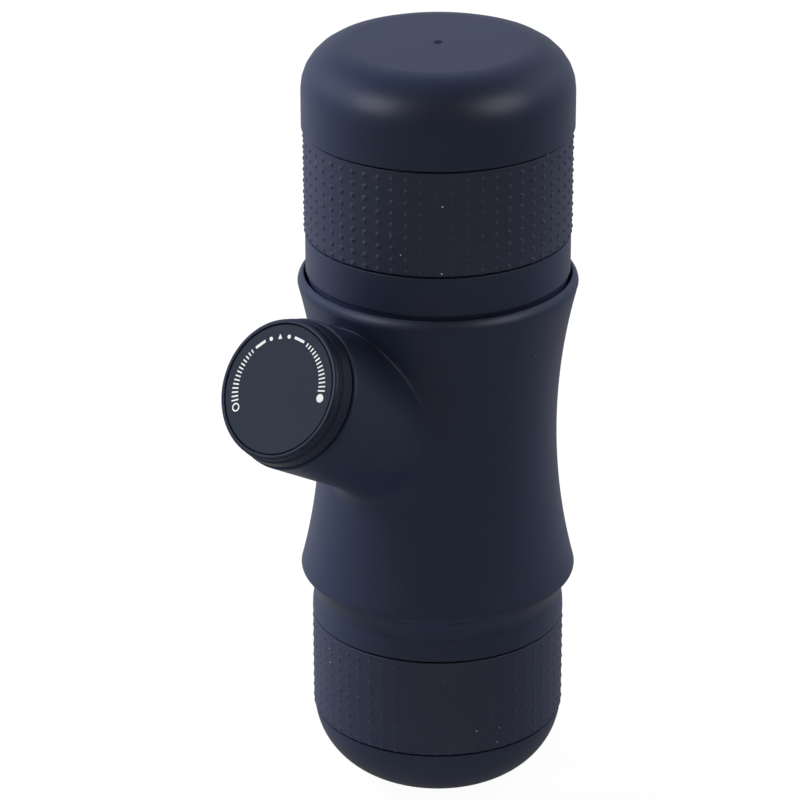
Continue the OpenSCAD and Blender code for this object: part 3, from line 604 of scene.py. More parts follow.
# %% [markdown]
# ## Drinking cup
#
# The cup stands upside down over the outlet head. Its closed end is a dome edge of 10 mm that
# stands a little proud of the side, above the groove of the grip band. The part that goes into the
# body's rim is a little narrower, which leaves a dark line there. In the middle of the closed end
# is the small mark that the mould's gate leaves.

# %% Cup outline
CUP_EDGE = 10.1 * MM
CUP_WALL = 2.2 * MM
CUP_END_WALL = 2.4 * MM
CUP_INNER_EDGE = 8.7 * MM
BAND_T = 1.2 * MM
SEAM = 0.42 * MM
CUP_STEP = 0.25 * MM
REBATE = 0.5 * MM
REBATE_H = 0.3 * MM
GATE_R = 0.75 * MM
GATE_RIM = 0.6 * MM
GATE_DEPTH = 0.4 * MM

cup_side_r = radius("cup_grip_band") - CUP_STEP
cup_end_r = radius("drinking_cup")
cup_core_r = radius("cup_grip_band") - BAND_T
cup_mouth_z, cup_top_z = low("drinking_cup"), top("drinking_cup")
cup_groove = (low("cup_grip_band") - SEAM, top("cup_grip_band") + SEAM)
cup_bore_r = cup_side_r - CUP_WALL
rebate_z = top("body_shell") + REBATE_H


def cup_corners():
    ceiling = cup_top_z - CUP_END_WALL
    return [
        (0, cup_top_z - GATE_DEPTH, 0),
        (0, ceiling, 0),
        (cup_bore_r, ceiling, CUP_INNER_EDGE),
        (cup_bore_r, cup_mouth_z, 0.5 * MM),
        (cup_side_r - REBATE, cup_mouth_z, 0.5 * MM),
        (cup_side_r - REBATE, rebate_z, 0.1 * MM),
        (cup_side_r, rebate_z + 0.5 * REBATE, 0.3 * MM),
        (cup_side_r, cup_groove[0], 0.18 * MM),
        (cup_core_r, cup_groove[0], 0),
        (cup_core_r, cup_groove[1], 0),
        (cup_end_r, cup_groove[1], 0.2 * MM),
        (cup_end_r, cup_top_z, CUP_EDGE),
        (0.4 * cup_end_r, cup_top_z, 0),
        (0.2 * cup_end_r, cup_top_z, 0),
        (GATE_R + GATE_RIM, cup_top_z, 0.3 * MM),
        (GATE_R, cup_top_z - GATE_DEPTH, 0.2 * MM)]


cup = lathe("cup", cup_corners(), CUP)
place(cup, "cup", "shell", "drinking_cup")

# %% [markdown]
# ## Grip bands
#
# Each band is a plain sleeve with nine rows of soft dots. A dot is a small raised lens turned by
# the lathe tree. A second tree puts a copy at each crossing of the rows and columns, and turns it
# so that it faces outwards. Its bottom lies just under the sleeve's surface, so no gap shows. The
# dots on the tank are shallower than those on the cup. The sleeve lies half a dot's height inside
# the solid's radius, and ends a little short in its groove.

# %% Geometry Nodes tree: copies round a cylinder
def build_ring_copies():
    tree, given, made = geometry_tree("copies round a cylinder", {
        "Columns": ("Int", 57), "Rows": ("Int", 9), "Radius": ("Float", 0.03),
        "Low": ("Float", 0.0), "High": ("Float", 0.02)})
    rows = given.outputs["Rows"]
    grid = add(tree, "GeometryNodeMeshGrid", {
        "Vertices X": given.outputs["Columns"], "Vertices Y": rows})
    index = point_index(tree)
    column = whole(tree, "DIVIDE_FLOOR", index, rows)
    row = whole(tree, "FLOORED_MODULO", index, rows)
    angle = maths(tree, "MULTIPLY", column, math.tau)
    angle = maths(tree, "DIVIDE", angle, given.outputs["Columns"])
    share = maths(tree, "DIVIDE", row, maths(tree, "SUBTRACT", rows, 1.0))
    height = add(tree, "ShaderNodeMapRange", {
        "Value": share, "To Min": given.outputs["Low"],
        "To Max": given.outputs["High"]}).outputs[0]
    outward = add(tree, "ShaderNodeCombineXYZ", {
        "X": maths(tree, "COSINE", angle), "Y": maths(tree, "SINE", angle)}).outputs[0]
    level = scaled(tree, outward, given.outputs["Radius"])
    lift = add(tree, "ShaderNodeCombineXYZ", {"Z": height}).outputs[0]
    spot = add(tree, "ShaderNodeVectorMath", {0: level, 1: lift}, operation="ADD").outputs[0]
    facing = add(tree, "FunctionNodeAlignRotationToVector", {"Vector": outward}, axis="Z")
    copies = add(tree, "GeometryNodeInstanceOnPoints", {
        "Points": placed_at(tree, grid.outputs["Mesh"], spot),
        "Instance": given.outputs["Geometry"], "Rotation": facing.outputs[0]})
    return end_tree(tree, given, made, copies.outputs["Instances"])


RING_COPIES = build_ring_copies()

# %% One dotted sleeve for each grip band
DOT_R = 0.8 * MM
DOT_SUNK = 0.03 * MM
DOT_ROWS = 9
DOT_COLUMNS = 57
DOT_RINGS = 4
DOT_SIDES = 10
CUP_DOT_H = 0.28 * MM
TANK_DOT_H = 0.17 * MM
DOT_MARGIN_LOW = 0.8 * MM
DOT_MARGIN_TOP = 2.0 * MM
SLEEVE_SINK = 0.5
SLEEVE_SHORT = 0.07 * MM


def dot_mesh(height):
    """A soft dome whose height falls off as a cosine, with a flat bottom under the surface."""
    rise = [(DOT_R * k / DOT_RINGS, 0,
             height * (1 + math.cos(math.pi * k / DOT_RINGS)) / 2 - DOT_SUNK / 2)
            for k in range(DOT_RINGS)]
    outline = [(0, 0, -DOT_SUNK), (DOT_R, 0, -DOT_SUNK), *reversed(rise)]
    return grow("dot", LATHE, outline, Steps=DOT_SIDES, Material=GRIP)


def grip_band(name, node, body, dot_h):
    outer = radius(node) - SLEEVE_SINK * dot_h
    start, end = low(node) + SLEEVE_SHORT, top(node) - SLEEVE_SHORT
    sleeve = lathe(name + "_sleeve", [
        (outer - BAND_T, start, 0), (outer, start, 0.2 * MM), (outer, end, 0.2 * MM),
        (outer - BAND_T, end, 0)], GRIP)
    dot = dot_mesh(dot_h)
    faces = [tuple(f.vertices) for f in dot.data.polygons]
    dots = grow(name + "_dots", RING_COPIES, [v.co for v in dot.data.vertices], faces,
                Columns=DOT_COLUMNS, Rows=DOT_ROWS, Radius=outer, Material=GRIP,
                Low=low(node) + DOT_MARGIN_LOW, High=top(node) - DOT_MARGIN_TOP)
    bpy.data.objects.remove(dot)
    place(join(name, sleeve, dots), body, "grip", node)


grip_band("cup_band", "cup_grip_band", "cup", CUP_DOT_H)
grip_band("tank_band", "tank_grip_band", "tank", TANK_DOT_H)

# %% [markdown]
# ## Threads
#
# The tank screws into the body, and the outlet head screws onto the brew chamber. A thread is a
# path that climbs as it turns, so it is the lathe's tree with a rise added. The ridge's section
# is scaled from nothing at both ends, as a real thread runs out.

# %% Geometry Nodes tree: thread
def build_thread():
    tree, given, made = geometry_tree("thread", {
        "Steps per turn": ("Int", 96), "Turns": ("Float", 2.5), "Pitch": ("Float", 0.004),
        "Radius": ("Float", 0.02), "Height": ("Float", 0.0), "Run out": ("Float", 0.12)})
    section = given.outputs["Geometry"]
    count = point_count(tree, section)
    total = maths(tree, "MULTIPLY", given.outputs["Steps per turn"], given.outputs["Turns"])
    grid = add(tree, "GeometryNodeMeshGrid", {
        "Vertices X": maths(tree, "ADD", total, 1.0), "Vertices Y": count})
    step = whole(tree, "DIVIDE_FLOOR", point_index(tree), count)
    turns = maths(tree, "DIVIDE", step, given.outputs["Steps per turn"])
    angle = maths(tree, "MULTIPLY", turns, math.tau)
    left = maths(tree, "DIVIDE", step, total)
    rest = maths(tree, "SUBTRACT", 1.0, left)
    nearest = maths(tree, "MINIMUM", left, rest)
    grown = add(tree, "ShaderNodeMapRange", {
        "Value": nearest, "From Max": given.outputs["Run out"]},
        interpolation_type="SMOOTHSTEP").outputs[0]
    ridge = scaled(tree, point_of(tree, section, count), grown)
    height = maths(tree, "MULTIPLY_ADD", turns, given.outputs["Pitch"], given.outputs["Height"])
    core = add(tree, "ShaderNodeCombineXYZ", {"X": given.outputs["Radius"], "Z": height}).outputs[0]
    spot = add(tree, "ShaderNodeVectorMath", {0: ridge, 1: core}, operation="ADD").outputs[0]
    placed = placed_at(tree, grid.outputs["Mesh"], turned_about_z(tree, spot, angle))
    return end_tree(tree, given, made, merged(tree, placed))


THREAD = build_thread()
THREAD_PITCH = 4 * MM
THREAD_DEPTH = 0.8 * MM
THREAD_SUNK = 0.2 * MM
THREAD_FOOT = 1.1 * MM
THREAD_CREST = 0.45 * MM


def thread(name, core_r, start_z, turns, material):
    """A thread whose ridge stands THREAD_DEPTH out of a core."""
    section = [(-THREAD_SUNK, 0, -THREAD_FOOT), (THREAD_DEPTH, 0, -THREAD_CREST),
               (THREAD_DEPTH, 0, THREAD_CREST), (-THREAD_SUNK, 0, THREAD_FOOT),
               (-THREAD_SUNK, 0, -THREAD_FOOT)]
    return grow(name, THREAD, section, Turns=turns, Pitch=THREAD_PITCH, Radius=core_r,
                Height=start_z, Material=material)


# %% [markdown]
# ## Water tank
#
# The tank stands on a flat foot. Its round bottom edge runs up to the grip band, and above the
# shoulder is the threaded neck that goes up into the body.

# %% Tank outline, neck and thread
TANK_EDGE = 17 * MM
TANK_FOOT = 15.7 * MM
TANK_WALL = 2.4 * MM
NECK_WALL = 2 * MM
NECK_H = 14.5 * MM
TANK_STEP = 0.2 * MM
SHOULDER_DRAFT = 0.1 * MM
LIP_SHOULDER = 0.45 * MM
TANK_THREAD_RISE = 3.4 * MM
TANK_THREAD_TURNS = 2.2

tank_r = radius("tank_grip_band")
tank_core_r = tank_r - BAND_T
tank_side_r = tank_r - TANK_STEP
tank_groove = (low("tank_grip_band") - SEAM, top("tank_grip_band") + SEAM)
neck_top_z = top("water_tank")
shoulder_z = neck_top_z - NECK_H
lip_r = tank_r - LIP_SHOULDER
neck_r = radius("pump_deck")
neck_core_r = neck_r - THREAD_DEPTH
tank_bore_r = neck_r - NECK_WALL


def tank_corners():
    centre_r = tank_side_r - TANK_EDGE
    centre_z = math.sqrt(TANK_EDGE ** 2 - (TANK_FOOT - centre_r) ** 2)
    inner = TANK_EDGE - TANK_WALL
    first = -math.degrees(math.acos((TANK_FOOT - centre_r) / TANK_EDGE))
    end_z = tank_groove[0] - SUPPORT
    last = min(0, math.degrees(math.asin((end_z - centre_z) / TANK_EDGE)))
    reach = -math.degrees(math.acos((tank_bore_r - centre_r) / inner))
    return [
        (0, centre_z - inner, 0),
        (0, 0, 0),
        (TANK_FOOT - 0.3 * MM, 0, 0),
        *arc(centre_r, centre_z, TANK_EDGE, first, last, 24),
        (tank_side_r - SHOULDER_DRAFT, tank_groove[0], 0),
        (tank_core_r, tank_groove[0], 0),
        (tank_core_r, tank_groove[1], 0),
        (tank_r, tank_groove[1], 0.15 * MM),
        (tank_r - SHOULDER_DRAFT, (tank_groove[1] + shoulder_z) / 2, 6 * MM),
        (lip_r, shoulder_z, 0),
        (neck_core_r, shoulder_z, 0.25 * MM),
        (neck_core_r, neck_top_z, 0.5 * MM),
        (tank_bore_r, neck_top_z, 0.4 * MM),
        *arc(centre_r, centre_z, inner, reach, -90, 16)]


tank = lathe("tank_shell", tank_corners(), SHELL)
tank_thread = thread("tank_thread", neck_core_r, shoulder_z + TANK_THREAD_RISE,
                     TANK_THREAD_TURNS, SHELL)
place(join("tank", tank, tank_thread), "tank", "shell", "water_tank")

# %% [markdown]
# ## Body shell
#
# The body is an hourglass whose side is an arc, and the pump's boss grows out of it at a tilt.
# A boolean of two meshes would leave a ragged seam there, so the mesh is laid out to follow the
# shape. The revolved wall is a grid with a window in it. A patch fills the window with rings that
# start as the window's rectangle and end as the line where the boss meets the wall. From there
# the rings climb the blend, run along the boss and turn in at its mouth. All rings
# have the same number of points, so the whole skin is quads.

# %% Sizes of the body
COLUMNS = 240
WINDOW_COLUMNS = 80
WINDOW_ROWS = 38
WAIST_DEPTH = 4.35 * MM
LIP_INSET = 2.85 * MM
LIP_WALL = 1.35 * MM
LIP_CLOSING = 0.25 * MM
FLARE_R = 8 * MM
CREST_R = 1.2 * MM
RIM_ROUND = 2.7 * MM
RIM_EDGE = 0.25 * MM
RIM_H = 2.5 * MM
BODY_WALL = 2.4 * MM
WELL_DEPTH = 7 * MM
WELL_WALL = 1.5 * MM
SEAT_T = 2 * MM
SEAT_LEDGE = 2.4 * MM
CAVITY_GAP = 1 * MM
LIP_BEVEL = 0.2 * MM
FIT = 0.1 * MM

rim_r = radius("body_shell")
lip_z, rim_z = low("body_shell") - LIP_CLOSING, top("body_shell")
seat_hole_r = radius("shower_screen") + SEAT_LEDGE + FIT
body_lip_r = rim_r - LIP_INSET
waist_r = rim_r - WAIST_DEPTH
flare_angle = math.acos(1 - LIP_INSET / (FLARE_R + CREST_R))
low_crest_z = lip_z + (FLARE_R + CREST_R) * math.sin(flare_angle)
top_crest_z = rim_z - RIM_H
waist_z = (low_crest_z + top_crest_z) / 2
waist_span = (top_crest_z - low_crest_z) / 2
waist_arc_r = (waist_span ** 2 + WAIST_DEPTH ** 2) / (2 * WAIST_DEPTH)


def outer_r(z):
    """Radius of the body's side at height z, on the waist's arc between the two crests."""
    h = np.minimum(np.abs(z - waist_z), waist_span)
    return waist_r + waist_arc_r - np.sqrt(waist_arc_r ** 2 - h ** 2)


def inner_r(z):
    return waist_r + waist_arc_r - np.sqrt((waist_arc_r + BODY_WALL) ** 2 - (z - waist_z) ** 2)


print("waist radius", round(waist_r / MM, 2), "arc radius", round(waist_arc_r / MM, 1))

# %% [markdown]
# The closed outline of the wall starts at the lower lip, climbs the outer side, turns in at the
# rim and comes down inside: the cup's well, the seat of the brew chamber, the hollow, and the
# tank's socket with its collar. The rows of the two windows are spaced evenly.

# %% Outline of the body's wall
OUTER_WINDOW = (62 * MM, 118.8 * MM)
INNER_WINDOW = (103 * MM, 72 * MM)


def spaced(first, last, count):
    return [first + (last - first) * i / count for i in range(count + 1)]


def body_outline():
    """Points (radius, height), and the first row of the outer and of the inner window."""
    well_r, well_z = rim_r - WELL_WALL, rim_z - WELL_DEPTH
    seat_r, seat_z = radius("brew_chamber") + FIT, well_z - SEAT_T
    deck_bore_r, deck_bottom = radius("pump_deck") + FIT, low("tank_gasket")
    collar_r, collar_z = radius("tank_collar"), low("tank_collar")
    socket_r = body_lip_r - LIP_WALL
    cavity_z, deck_z = low("brew_chamber") - CAVITY_GAP, top("pump_deck")
    edge_r = well_r + RIM_EDGE
    inward = edge_r - rim_r + RIM_ROUND
    rise = math.sqrt((RIM_ROUND - RIM_EDGE) ** 2 - inward ** 2)
    turn_in = math.degrees(math.atan2(rise, inward))
    degrees = math.degrees(flare_angle)
    start = [(body_lip_r - LIP_BEVEL, lip_z), (body_lip_r, lip_z)]
    flare = arc(body_lip_r + FLARE_R, lip_z, FLARE_R, 179, 180 - degrees, 12)
    crest = arc(rim_r - CREST_R, low_crest_z, CREST_R, -degrees, 0, 6)[1:]
    below = [(outer_r(z), z) for z in spaced(low_crest_z, OUTER_WINDOW[0], 8)[1:-1]]
    side = [(outer_r(z), z) for z in spaced(*OUTER_WINDOW, WINDOW_ROWS)]
    rim = arc(rim_r - RIM_ROUND, top_crest_z, RIM_ROUND, 0, turn_in, 8)
    edge = arc(edge_r, top_crest_z + rise, RIM_EDGE, turn_in, 180, 6)[1:]
    first = [*start, *[p[:2] for p in flare + crest], *below]
    inside = rounded([
        (well_r, top_crest_z + rise - 0.2 * MM, 0), (well_r, well_z, 0.3 * MM),
        (seat_r, well_z, 0), (seat_r, seat_z, 0), (seat_hole_r, seat_z, 0),
        (seat_hole_r, cavity_z, 0)])
    wall = [(inner_r(z), z) for z in spaced(*INNER_WINDOW, WINDOW_ROWS)]
    lower = [(inner_r(z), z) for z in spaced(INNER_WINDOW[1], deck_z, 4)[1:]]
    socket = [(deck_bore_r, deck_z), (deck_bore_r, deck_bottom), (collar_r, deck_bottom),
              (collar_r, collar_z), (socket_r, collar_z), (socket_r, lip_z + LIP_BEVEL),
              (socket_r + LIP_BEVEL, lip_z)]
    before = first + side + [p[:2] for p in rim + edge] + inside + [(inner_r(cavity_z), cavity_z)]
    return before + wall + lower + socket, len(first), len(before)


body_rows, outer_row, inner_row = body_outline()
print("body outline of", len(body_rows), "rows, windows from rows", outer_row, "and", inner_row)

# %% [markdown]
# The boss is a cylinder on the pump's axis. Where its side meets the wall is found by halving,
# for all angles at once. The blend is a curve that leaves the boss along its side and lands on the
# wall along the wall, so both joins are smooth. It is small above, where the boss runs in under
# the rim, and grows to 6 mm below.

# %% Sizes and lines of the boss
BOSS_R = 16.4 * MM
BLEND_TOP = 0.9 * MM
BLEND_LOW = 6 * MM
BLEND_GROWTH = 1.5
BLEND_STEPS = 10
MOUTH_ROUND = 0.45 * MM
MOUTH_EDGE = 0.3 * MM
GUIDE_HOLE_R = 7.4 * MM
SKIRT_BORE_R = 12.9 * MM
SKIRT_BORE_GAP = 0.75 * MM
LOCK_BORE_DEPTH = 3.8 * MM

boss_reach = max((v.co - PUMP_ORIGIN).dot(PUMP_AXIS)
                 for v in frame["nodes"]["body_shell"].data.vertices)
skirt_first, knob_end, knob_ring_r = along_pump("knob_shell")
_, _, lock_bore_r = along_pump("lock_ring")
skirt_bore_s = skirt_first - SKIRT_BORE_GAP
lock_bore_s = boss_reach - LOCK_BORE_DEPTH
axis, upper = np.array(PUMP_AXIS), np.array(PUMP_UP)
origin, sideways = np.array(PUMP_ORIGIN), np.array((1.0, 0.0, 0.0))


STATIONS_SEARCHED = (5 * MM, 70 * MM)
HALVINGS = 40


def around(angles):
    """Directions square to the pump's axis, at angles from its upper side."""
    return np.outer(np.sin(angles), sideways) + np.outer(np.cos(angles), upper)


def on_pump(station, size, angles):
    stations = np.broadcast_to(station, len(angles))
    return origin + np.multiply.outer(stations, axis) + size * around(angles)


def station_on_wall(size, angles, wall_r):
    """Station at which a cylinder on the pump's axis comes out of a wall, by halving."""
    inside, outside = (np.full(len(angles), station) for station in STATIONS_SEARCHED)
    for _ in range(HALVINGS):
        middle = (inside + outside) / 2
        points = on_pump(middle, size, angles)
        out = np.hypot(points[:, 0], points[:, 1]) > wall_r(points[:, 2])
        outside, inside = np.where(out, middle, outside), np.where(out, inside, middle)
    return (inside + outside) / 2


def onto_wall(points, wall_r):
    """The points moved straight in or out from the body's axis onto the wall."""
    share = wall_r(points[:, 2]) / np.hypot(points[:, 0], points[:, 1])
    return points * np.stack([share, share, np.ones(len(points))], 1)


def wall_normal(points):
    """Outward directions of the body's side; its slope is measured over a small step."""
    step = 0.1 * MM
    slope = (outer_r(points[:, 2] + step) - outer_r(points[:, 2] - step)) / (2 * step)
    flat = points[:, :2] / np.hypot(points[:, 0], points[:, 1])[:, None]
    normal = np.concatenate([flat, -slope[:, None]], 1)
    return normal / np.linalg.norm(normal, axis=1)[:, None]


# %% Blend between boss and wall
def boss_blend(angles):
    """Rings from the wall up onto the boss, and the stations at which they end."""
    size = BLEND_TOP + (BLEND_LOW - BLEND_TOP) * ((1 - np.cos(angles)) / 2) ** BLEND_GROWTH
    root = station_on_wall(BOSS_R, angles, outer_r)
    foot = onto_wall(on_pump(root, BOSS_R, angles) + size[:, None] * around(angles), outer_r)
    end = on_pump(root + size, BOSS_R, angles)
    normal = wall_normal(foot)
    back = ((end - foot) * normal).sum(1) / (normal @ axis)
    corner = end - back[:, None] * axis
    rings = []
    for t in np.linspace(0, 1, BLEND_STEPS + 1):
        rings.append((1 - t) ** 2 * foot + 2 * t * (1 - t) * corner + t ** 2 * end)
    return rings, root + size


def spread(points):
    """Points on the wall as distance round it and height."""
    return np.arctan2(points[:, 0], -points[:, 1]) * rim_r, points[:, 2]


SAMPLES = 721


def matched_angles(window, line, middle):
    """For each point of a window's edge, the angle whose point on line lies in its direction."""
    angles = np.linspace(0, math.tau, SAMPLES)
    side, height = spread(line(angles))
    seen = np.unwrap(np.arctan2(side, height - middle))
    side, height = spread(window)
    wanted = np.unwrap(np.arctan2(side, height - middle))
    return np.interp((wanted - seen[0]) % math.tau, seen - seen[0], angles)


# %% [markdown]
# Now the skin can be put together. The grid's points come first, then the rings are added one
# after another, each joined to the last. The inner window is closed in the same way, from the
# guide's hole at the end of the bore to the hollow's wall.

# %% Skin of the body
PATCH_RINGS = 14
PATCH_EASE = 1.35
BOSS_RINGS = 4
MOUTH_STEPS = 6


class Skin:
    """Points and quads of a mesh that grows ring by ring."""

    def __init__(self):
        self.points, self.faces = [], []

    def ring(self, points):
        start = len(self.points)
        self.points.extend(map(tuple, points))
        return list(range(start, len(self.points)))

    def bridge(self, first, second):
        count = len(first)
        for i in range(count):
            k = (i + 1) % count
            self.faces.append((first[i], first[k], second[k], second[i]))
        return second


def window_edge(row, top_first):
    """Indices of the grid points round a window, from the middle of its upper edge towards +X."""
    half = WINDOW_COLUMNS // 2
    upper_row, lower_row = (row, row + WINDOW_ROWS) if top_first else (row + WINDOW_ROWS, row)
    step = 1 if top_first else -1
    walk = [(upper_row, c) for c in range(0, half)]
    walk += [(r, half) for r in range(upper_row, lower_row, step)]
    walk += [(lower_row, c) for c in range(half, -half, -1)]
    walk += [(r, -half) for r in range(lower_row, upper_row, -step)]
    walk += [(upper_row, c) for c in range(-half, 0)]
    return [r * COLUMNS + c % COLUMNS for r, c in walk]


def patch(skin, edge, line, wall_r):
    """Rings on the wall from a window's edge to a closed line, with wider steps outside."""
    rim = np.array([skin.points[i] for i in edge])
    rim_angle = np.arctan2(rim[:, 0], -rim[:, 1])
    inner_angle = np.arctan2(line[:, 0], -line[:, 1])
    last = edge
    for k in range(1, PATCH_RINGS + 1):
        t = 1 - (1 - k / PATCH_RINGS) ** PATCH_EASE
        angle = rim_angle + (inner_angle - rim_angle) * t
        height = rim[:, 2] + (line[:, 2] - rim[:, 2]) * t
        size = wall_r(height)
        points = np.stack([size * np.sin(angle), -size * np.cos(angle), height], 1)
        last = skin.bridge(last, skin.ring(points))
    return last


def guide_hole(angles):
    """The line where the hole for the rod's guide comes out of the hollow's wall."""
    return on_pump(station_on_wall(GUIDE_HOLE_R, angles, inner_r), GUIDE_HOLE_R, angles)


def body_skin():
    """The whole wall: grid, windows, blend, boss, mouth and bore."""
    skin = Skin()
    turns = [math.tau * c / COLUMNS for c in range(COLUMNS)]
    for r, z in body_rows:
        skin.ring([(r * math.sin(t), -r * math.cos(t), z) for t in turns])
    half = WINDOW_COLUMNS // 2
    windows = [(outer_row, outer_row + WINDOW_ROWS), (inner_row, inner_row + WINDOW_ROWS)]
    for row in range(len(body_rows)):
        after = (row + 1) % len(body_rows)
        cut = any(first <= row < last for first, last in windows)
        for c in range(-COLUMNS // 2, COLUMNS // 2):
            if cut and -half <= c < half:
                continue
            a, b = c % COLUMNS, (c + 1) % COLUMNS
            skin.faces.append((row * COLUMNS + a, row * COLUMNS + b,
                               after * COLUMNS + b, after * COLUMNS + a))
    outer_edge, inner_edge = window_edge(outer_row, False), window_edge(inner_row, True)
    outer_points = np.array([skin.points[i] for i in outer_edge])
    inner_points = np.array([skin.points[i] for i in inner_edge])
    middle = PUMP_ORIGIN.z + waist_r * math.tan(PUMP_TILT)
    turned = matched_angles(outer_points, lambda a: boss_blend(a)[0][0], middle)
    turned_in = matched_angles(inner_points, guide_hole, middle)
    rings, ends = boss_blend(turned)
    last = patch(skin, outer_edge, rings[0], outer_r)
    for ring in rings[1:]:
        last = skin.bridge(last, skin.ring(ring))
    straight = boss_reach - MOUTH_ROUND
    for k in range(1, BOSS_RINGS + 1):
        station = ends + (straight - ends) * k / BOSS_RINGS
        last = skin.bridge(last, skin.ring(on_pump(station, BOSS_R, turned)))
    bend = [math.pi / 2 * k / MOUTH_STEPS for k in range(1, MOUTH_STEPS + 1)]
    mouth = [(straight + MOUTH_ROUND * math.sin(b), BOSS_R - MOUTH_ROUND * (1 - math.cos(b)))
             for b in bend]
    mouth += [(boss_reach - MOUTH_EDGE * (1 - math.cos(b)),
               lock_bore_r + MOUTH_EDGE * (1 - math.sin(b))) for b in [0.0] + bend]
    mouth += [(lock_bore_s, lock_bore_r), (lock_bore_s, SKIRT_BORE_R),
              (skirt_bore_s, SKIRT_BORE_R)]
    for station, size in mouth:
        last = skin.bridge(last, skin.ring(on_pump(station, size, turned)))
    hole = guide_hole(turned_in)
    last = skin.bridge(last, skin.ring(on_pump(skirt_bore_s, GUIDE_HOLE_R, turned_in)))
    inner_last = patch(skin, inner_edge, hole, inner_r)
    skin.bridge(last, inner_last)
    return skin


# %% Pillars for the deck's screws, and the finished body
PILLAR_R = 3.2 * MM
PILLAR_H = 12.5 * MM
PILLAR_BORE_R = 1 * MM
PILLAR_BORE_H = 8.5 * MM
SCREW_INSET = 3.8 * MM
SCREW_ANGLES = [90, 210, 330]


def at_screws(obj):
    """Copies of a mesh at the three screws."""
    copies = []
    for degrees in SCREW_ANGLES:
        copy = obj.copy()
        copy.data = obj.data.copy()
        bpy.context.scene.collection.objects.link(copy)
        spot = Matrix.Rotation(math.radians(degrees), 4, "Z") @ Matrix.Translation(
            (radius("pump_deck") - SCREW_INSET, 0, 0))
        copy.data.transform(spot)
        copies.append(copy)
    bpy.data.objects.remove(obj)
    return copies


skin = body_skin()
shell = new_object("shell_skin", skin.points, faces=skin.faces)
shell.data.materials.append(SHELL)
pillar_z = top("pump_deck")
pillar = lathe("pillar", [
    (0, pillar_z + PILLAR_BORE_H, 0), (PILLAR_BORE_R, pillar_z + PILLAR_BORE_H, 0),
    (PILLAR_BORE_R, pillar_z, 0), (PILLAR_R, pillar_z, 0), (PILLAR_R, pillar_z + PILLAR_H, 0),
    (0, pillar_z + PILLAR_H, 0)], SHELL, steps=32)
place(join("body", shell, *at_screws(pillar)), "main_body", "shell", "body_shell")

# %% [markdown]
# ## Pump knob
#
# The knob closes the boss. From the face outwards it has a thin rim, a step, and a ring that
# stands over the mouth, and a skirt reaches into the bore with two lugs that lock behind the
# ring in the mouth. All but the lugs is turned on the pump's axis.

# %% Knob and its lugs
KNOB_RIM_INSET = 0.4 * MM
KNOB_RIM_W = 1.05 * MM
KNOB_RING_H = 2.5 * MM
KNOB_RING_FLARE = 0.4 * MM
KNOB_STEP = 0.3 * MM
KNOB_GAP = 0.6 * MM
KNOB_RING_S = boss_reach + KNOB_GAP
SKIRT_R = 12.6 * MM
SKIRT_WALL = 1.5 * MM
WEB_T = 2.7 * MM
SCREW_SINK_R = 3.2 * MM
SCREW_SINK = 1.6 * MM
KNOB_HOLE_R = 1.7 * MM
LUG_T = 1.1 * MM
LUG_REACH = 0.9 * MM
LUG_DEGREES = 20
LUG_STEPS = 8
LUG_ROOT = 0.5 * MM
LUG_GAP = 0.3 * MM

face_first, face_last, _ = along_pump("knob_face")
knob_r = knob_ring_r - KNOB_RIM_INSET
face_r = knob_r - KNOB_RIM_W


def knob_corners():
    ring_end = KNOB_RING_S + KNOB_RING_H
    web = face_first - WEB_T
    return [
        (KNOB_HOLE_R, web, 0), (SKIRT_R - SKIRT_WALL, web, 0),
        (SKIRT_R - SKIRT_WALL, skirt_first, 0.2 * MM), (SKIRT_R, skirt_first, 0.3 * MM),
        (SKIRT_R, KNOB_RING_S, 0), (knob_ring_r + KNOB_RING_FLARE, KNOB_RING_S, 0.3 * MM),
        (knob_ring_r, ring_end, 0.12 * MM), (knob_r, ring_end + KNOB_STEP, 0.12 * MM),
        (knob_r, knob_end, 0.7 * MM), (face_r, knob_end, 0.2 * MM),
        (face_r, face_first, 0), (SCREW_SINK_R, face_first, 0.1 * MM),
        (SCREW_SINK_R, face_first - SCREW_SINK, 0), (KNOB_HOLE_R, face_first - SCREW_SINK, 0)]


def lug_mesh(side):
    """A curved block on the skirt, as rings of four points along its arc."""
    skin = Skin()
    first = lock_bore_s + LUG_GAP
    root_r, tip_r = SKIRT_R - LUG_ROOT, lock_bore_r - LUG_REACH
    corners = [(root_r, first), (tip_r, first), (tip_r, first + LUG_T), (root_r, first + LUG_T)]
    last = None
    for k in range(LUG_STEPS + 1):
        degrees = side - LUG_DEGREES / 2 + LUG_DEGREES * k / LUG_STEPS
        angle = np.array([math.radians(degrees)])
        ring = skin.ring([on_pump(s, r, angle)[0] for r, s in corners])
        if last:
            skin.bridge(last, ring)
        else:
            skin.faces.append(tuple(ring))
        last = ring
    skin.faces.append(tuple(reversed(last)))
    obj = new_object("lug", skin.points, faces=skin.faces)
    obj.data.materials.append(KNOB)
    return obj


knob_body = lathe("knob_body", knob_corners(), KNOB, pump=True)
knob = join("knob_shell_piece", knob_body, lug_mesh(90), lug_mesh(270))
place(knob, "knob", "knob", "knob_shell")

# %% [markdown]
# ## Face disc and its print
#
# The disc lies in the knob's face with a fine gap round it. On it is a white scale that shows
# which way the knob turns: a pointer with a dot and a dash on each side, and from there an arc of
# ticks that grow longer, ending in an open ring on one side and a full dot on the other. A tree
# lays the ticks out along their arc.

